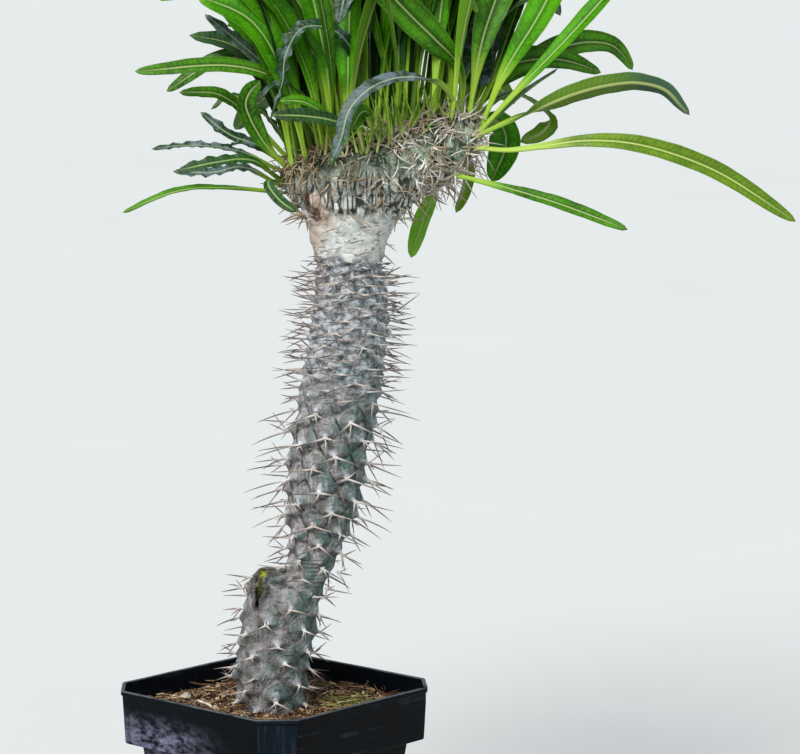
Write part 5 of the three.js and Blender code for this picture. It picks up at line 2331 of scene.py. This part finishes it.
class LeafBuilder:
    """Makes fine leaf blades along their midribs."""

    # Places across a section from edge to edge, over the upper face and back over the lower one.
    TOP = np.array([-1, -0.97, -0.86, -0.66, -0.44, -0.24, -0.1, 0, 0.1, 0.24, 0.44, 0.66, 0.86, 0.97, 1])
    UNDER = np.array([0.95, 0.75, 0.5, 0.28, 0.13, 0, -0.13, -0.28, -0.5, -0.75, -0.95])
    SINK = 0.003
    STEPS = {True: 2.6 * MM, False: 5.0 * MM}

    def __init__(self) -> None:
        """Makes one material for each tone."""
        self.materials = {tone: finish.build() for tone, finish in LEAF_FINISHES.items()}

    def build(self, name: str, path: LeafPath, look: LeafLook, rng: Random, *nodes: str) -> Thing:
        """Makes one leaf.

        Args:
            name: The piece's name.
            path: Its midrib.
            look: How it is dressed.
            rng: Where its small unevenness comes from.
            nodes: The CAD node that it stands for.

        Returns:
            The leaf.
        """
        at = run_of(path.centre)
        count = int(np.clip(at[-1] / self.STEPS[bool(nodes)], 20, 60))
        share = np.linspace(0, 1, count)
        centre = resample(path.centre, count)
        tangent = unit(np.gradient(centre, axis=0))
        upper = smoothed(np.stack([np.interp(share * at[-1], at, row) for row in path.upper.T], axis=1), 3)
        if look.face:
            turned = smooth_step(share, 0.1, 0.42)[:, None]
            upper = upper * (1 - turned) + unit(np.array(look.face)) * turned
        upper = unit(upper - tangent * (upper * tangent).sum(axis=1, keepdims=True))
        side = np.cross(tangent, upper)
        twist = (look.twist * smooth_step(share, 0.4, 1.0))[:, None]
        upper, side = upper * np.cos(twist) + side * np.sin(twist), side * np.cos(twist) - upper * np.sin(twist)
        blade = smoothed(np.interp(share**look.early * at[-1], at, path.blade), 3)
        fine = LeafPath(centre, upper, self.widths(path, at, share, look, rng), blade)
        rings, marks = self.rings(fine, side, at[-1], look, rng)
        foot = centre[0] - tangent[0] * self.SINK
        values = {key: np.concatenate([[rows[1][0]], *rows[1:-1], [rows[-2].mean()]])
                  for key, rows in marks.items()}
        values["upper"][[0, -1]] = 1.0
        values["across"][[0, -1]] = 0.0
        made = make_object(name, *loft(rings[1:-1], foot, centre[-1]), (), values)
        return register(dress(made, self.materials[look.tone]), "leaf_blade", *nodes)

    def widths(self, path: LeafPath, at: Array, share: Array, look: LeafLook, rng: Random) -> Array:
        """The leaf's width along it: a round tip, a swollen foot and the notches of a crinkled one.

        Args:
            path: The leaf's midrib.
            at: How far along it each of its points lies.
            share: The places from 0 to 1 where widths are wanted.
            look: How the leaf is dressed.
            rng: Where the notches' phase comes from.

        Returns:
            The widths.
        """
        squared, blade = (np.interp(share**look.early * at[-1], at, row) for row in (path.width**2, path.blade))
        width = np.sqrt(np.maximum(smoothed(squared, 2), 0)) * (1 + (look.widen - 1) * blade)
        run = share * at[-1]
        foot = STALK_WIDTH * (1 + 0.55 * np.exp(-run / (4 * MM)))
        width = np.where(run < 8 * MM, np.maximum(width, foot), width)
        if look.notch:
            phase = rng.uniform(0, 6.28)
            bites = np.sin(run / (7 * MM) * 2 + phase) * np.sin(run / (11 * MM) * 2)
            width = width * (1 - look.notch * smooth_step(share, 0.3, 0.5) * (0.5 + 0.5 * bites))
        return width

    def rings(self, path: LeafPath, side: Array, length: float, look: LeafLook,
              rng: Random) -> tuple[list, dict]:
        """The leaf's cross-sections.

        Args:
            path: The fine midrib.
            side: Directions across the blade.
            length: The leaf's length.
            look: How it is dressed.
            rng: Where the phases of its waves come from.

        Returns:
            The rings and, for each mark, one row of numbers a ring.
        """
        u = np.concatenate([self.TOP, self.UNDER])
        reach = np.abs(u)
        is_top = np.concatenate([np.ones(len(self.TOP)), np.zeros(len(self.UNDER))])
        is_top[[0, len(self.TOP) - 1]] = 0.5
        round_off, thin = np.sqrt(np.clip(1 - u**2, 0, 1)), np.clip(1 - u**8, 0, 1) ** 0.5
        stalk_top = 0.0010 * round_off * (1 - 0.45 * np.exp(-((u / 0.4) ** 2)))
        stalk_under = -0.0014 * round_off
        phases = rng.uniform(0, 6.28, 4)
        rings: list = []
        marks: dict = {}
        for i, s in enumerate(np.linspace(0, 1, len(side))):
            half, blade, run = path.width[i] / 2, path.blade[i], s * length / MM
            off = reach * half / MM
            lift = 0.16 * path.width[i] * reach ** 1.4
            top = lift + 0.00026 * thin - 0.0003 * np.exp(-((off / 0.6) ** 2))
            under = lift - 0.0002 * thin - 0.0009 * (1 - 0.75 * s) * np.exp(-(off ** 2))
            shape = np.where(is_top > 0.2, stalk_top + (top - stalk_top) * blade,
                             stalk_under + (under - stalk_under) * blade)
            turns = run / look.pitch
            ripple = np.where(u < 0, np.sin(turns * 6.28 + phases[0]), np.sin(turns * 5.4 + phases[1]))
            ripple = ripple + 0.5 * np.sin(turns * 13.7 + phases[2] + 2 * u)
            fade = smooth_step(s, 0.2, 0.4) * min(1.0, (1 - s) * 8)
            shape = shape + look.wave * MM * ripple * u**2 * fade
            scale = 1.0 if s > 0 else 0.8
            rings.append(path.centre[i] + np.outer(u * half * scale, side[i])
                         + np.outer(shape * scale, path.upper[i]))
            stalk = 1 - float(smooth_step(blade, 0.05, 0.45))
            for key, value in (("across", u * half / MM), ("run", run), ("upper", is_top), ("stalk", stalk),
                               ("along", s), ("rimward", reach)):
                marks.setdefault(key, []).append(np.broadcast_to(value, u.shape))
        return rings, marks


@dataclass
class Crown:
    """All the leaves: those of the CAD model and the inner ones that fill the crown."""

    stem_node: Thing
    box_low: Point
    box_high: Point
    seed: int = 31
    root_low: Pair = (0.012, -0.022)
    root_high: Pair = (0.120, 0.027)
    middle: float = 0.066
    half_width: float = 0.052
    inner_count: int = 92
    crest_foot: float = 0.455
    margin: float = 0.004
    # Each bend's share of an inner leaf's length and of its lean.
    bends: tuple = ((0.4, 0.4), (0.33, 0.9), (0.27, 1.9))

    def build(self) -> None:
        """Makes every leaf."""
        builder = LeafBuilder()
        work = bmesh.new()
        work.from_mesh(self.stem_node.data)
        skin = BVHTree.FromBMesh(work)
        work.free()
        rng = np.random.default_rng(self.seed)
        for name in sorted(name for name in frame["nodes"] if name.startswith("leaf_")):
            path = LeafPath.from_node(frame["nodes"][name], skin)
            builder.build(name + "_blade", path, LOOKS.get(name, LeafLook()), rng, name)
        self.inner_leaves(builder, skin, rng)

    def inner_leaves(self, builder: LeafBuilder, skin: BVHTree, rng: Random) -> None:
        """Fills the crown with upright and spreading leaves behind and between the others.

        Args:
            builder: What makes the blades.
            skin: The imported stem's search tree.
            rng: Where their places and bends come from.
        """
        for number in range(self.inner_count):
            x, y = (rng.uniform(low, high) for low, high in zip(self.root_low, self.root_high))
            hit = skin.ray_cast(Vector((x, y, 0.6)), Vector((0, 0, -1)))[0]
            if hit is None or hit.z < self.crest_foot:
                continue
            aside = (x - self.middle) / self.half_width
            azimuth = math.atan2(rng.normal(0.45, 0.5), 1.5 * aside + rng.normal(0, 0.5))
            outward = np.array([math.cos(azimuth), math.sin(azimuth), 0.0])
            lean = rng.uniform(0.1, 0.45) + 0.45 * abs(aside) * rng.uniform(0.3, 1.0)
            points = [np.array(hit)]
            length = rng.uniform(0.1, 0.175)
            for share, bend in self.bends:
                heading = outward * math.sin(bend * lean) + UP * math.cos(bend * lean)
                points.append(points[-1] + heading * length * share)
            path = LeafPath.drawn(self.inside(np.array(points)), rng.uniform(0.014, 0.023),
                                  unit(UP * 0.4 - outward), rng.uniform(-1.0, 1.0))
            deep = rng.random() < (0.65 if y > 0 else 0.35)
            tone = Tone.DEEP if deep else (Tone.BRIGHT if rng.random() < 0.45 else Tone.FRESH)
            look = LeafLook(tone, rng.uniform(0.15, 0.4), rng.uniform(12, 20))
            builder.build(f"leaf_inner_fill_{number:02d}", path, look, rng)

    def inside(self, points: Array) -> Array:
        """A leaf's bends, drawn towards its root until they all lie inside the box.

        Args:
            points: The bends, the root first.

        Returns:
            The drawn-in bends.
        """
        room = np.where(points > points[0], np.array(self.box_high) - self.margin - points[0],
                        points[0] - np.array(self.box_low) - self.margin)
        share = float(np.min(room / np.maximum(np.abs(points - points[0]), 1e-9)))
        return points[0] + (points - points[0]) * min(1.0, share)


# ------ the whole plant


def main() -> None:
    """Builds the studio and the plant in order."""
    logging.basicConfig(level=logging.INFO, format="%(message)s")
    Studio().build()
    pot = NurseryPot()
    pot.build()
    PottingMix(pot).build()
    stem = Stem()
    stem.build(frame["nodes"]["stem"])
    Armour(stem).build()
    Crown(frame["nodes"]["stem"], *CAD_BOX).build()


if __name__ == "__main__":
    main()
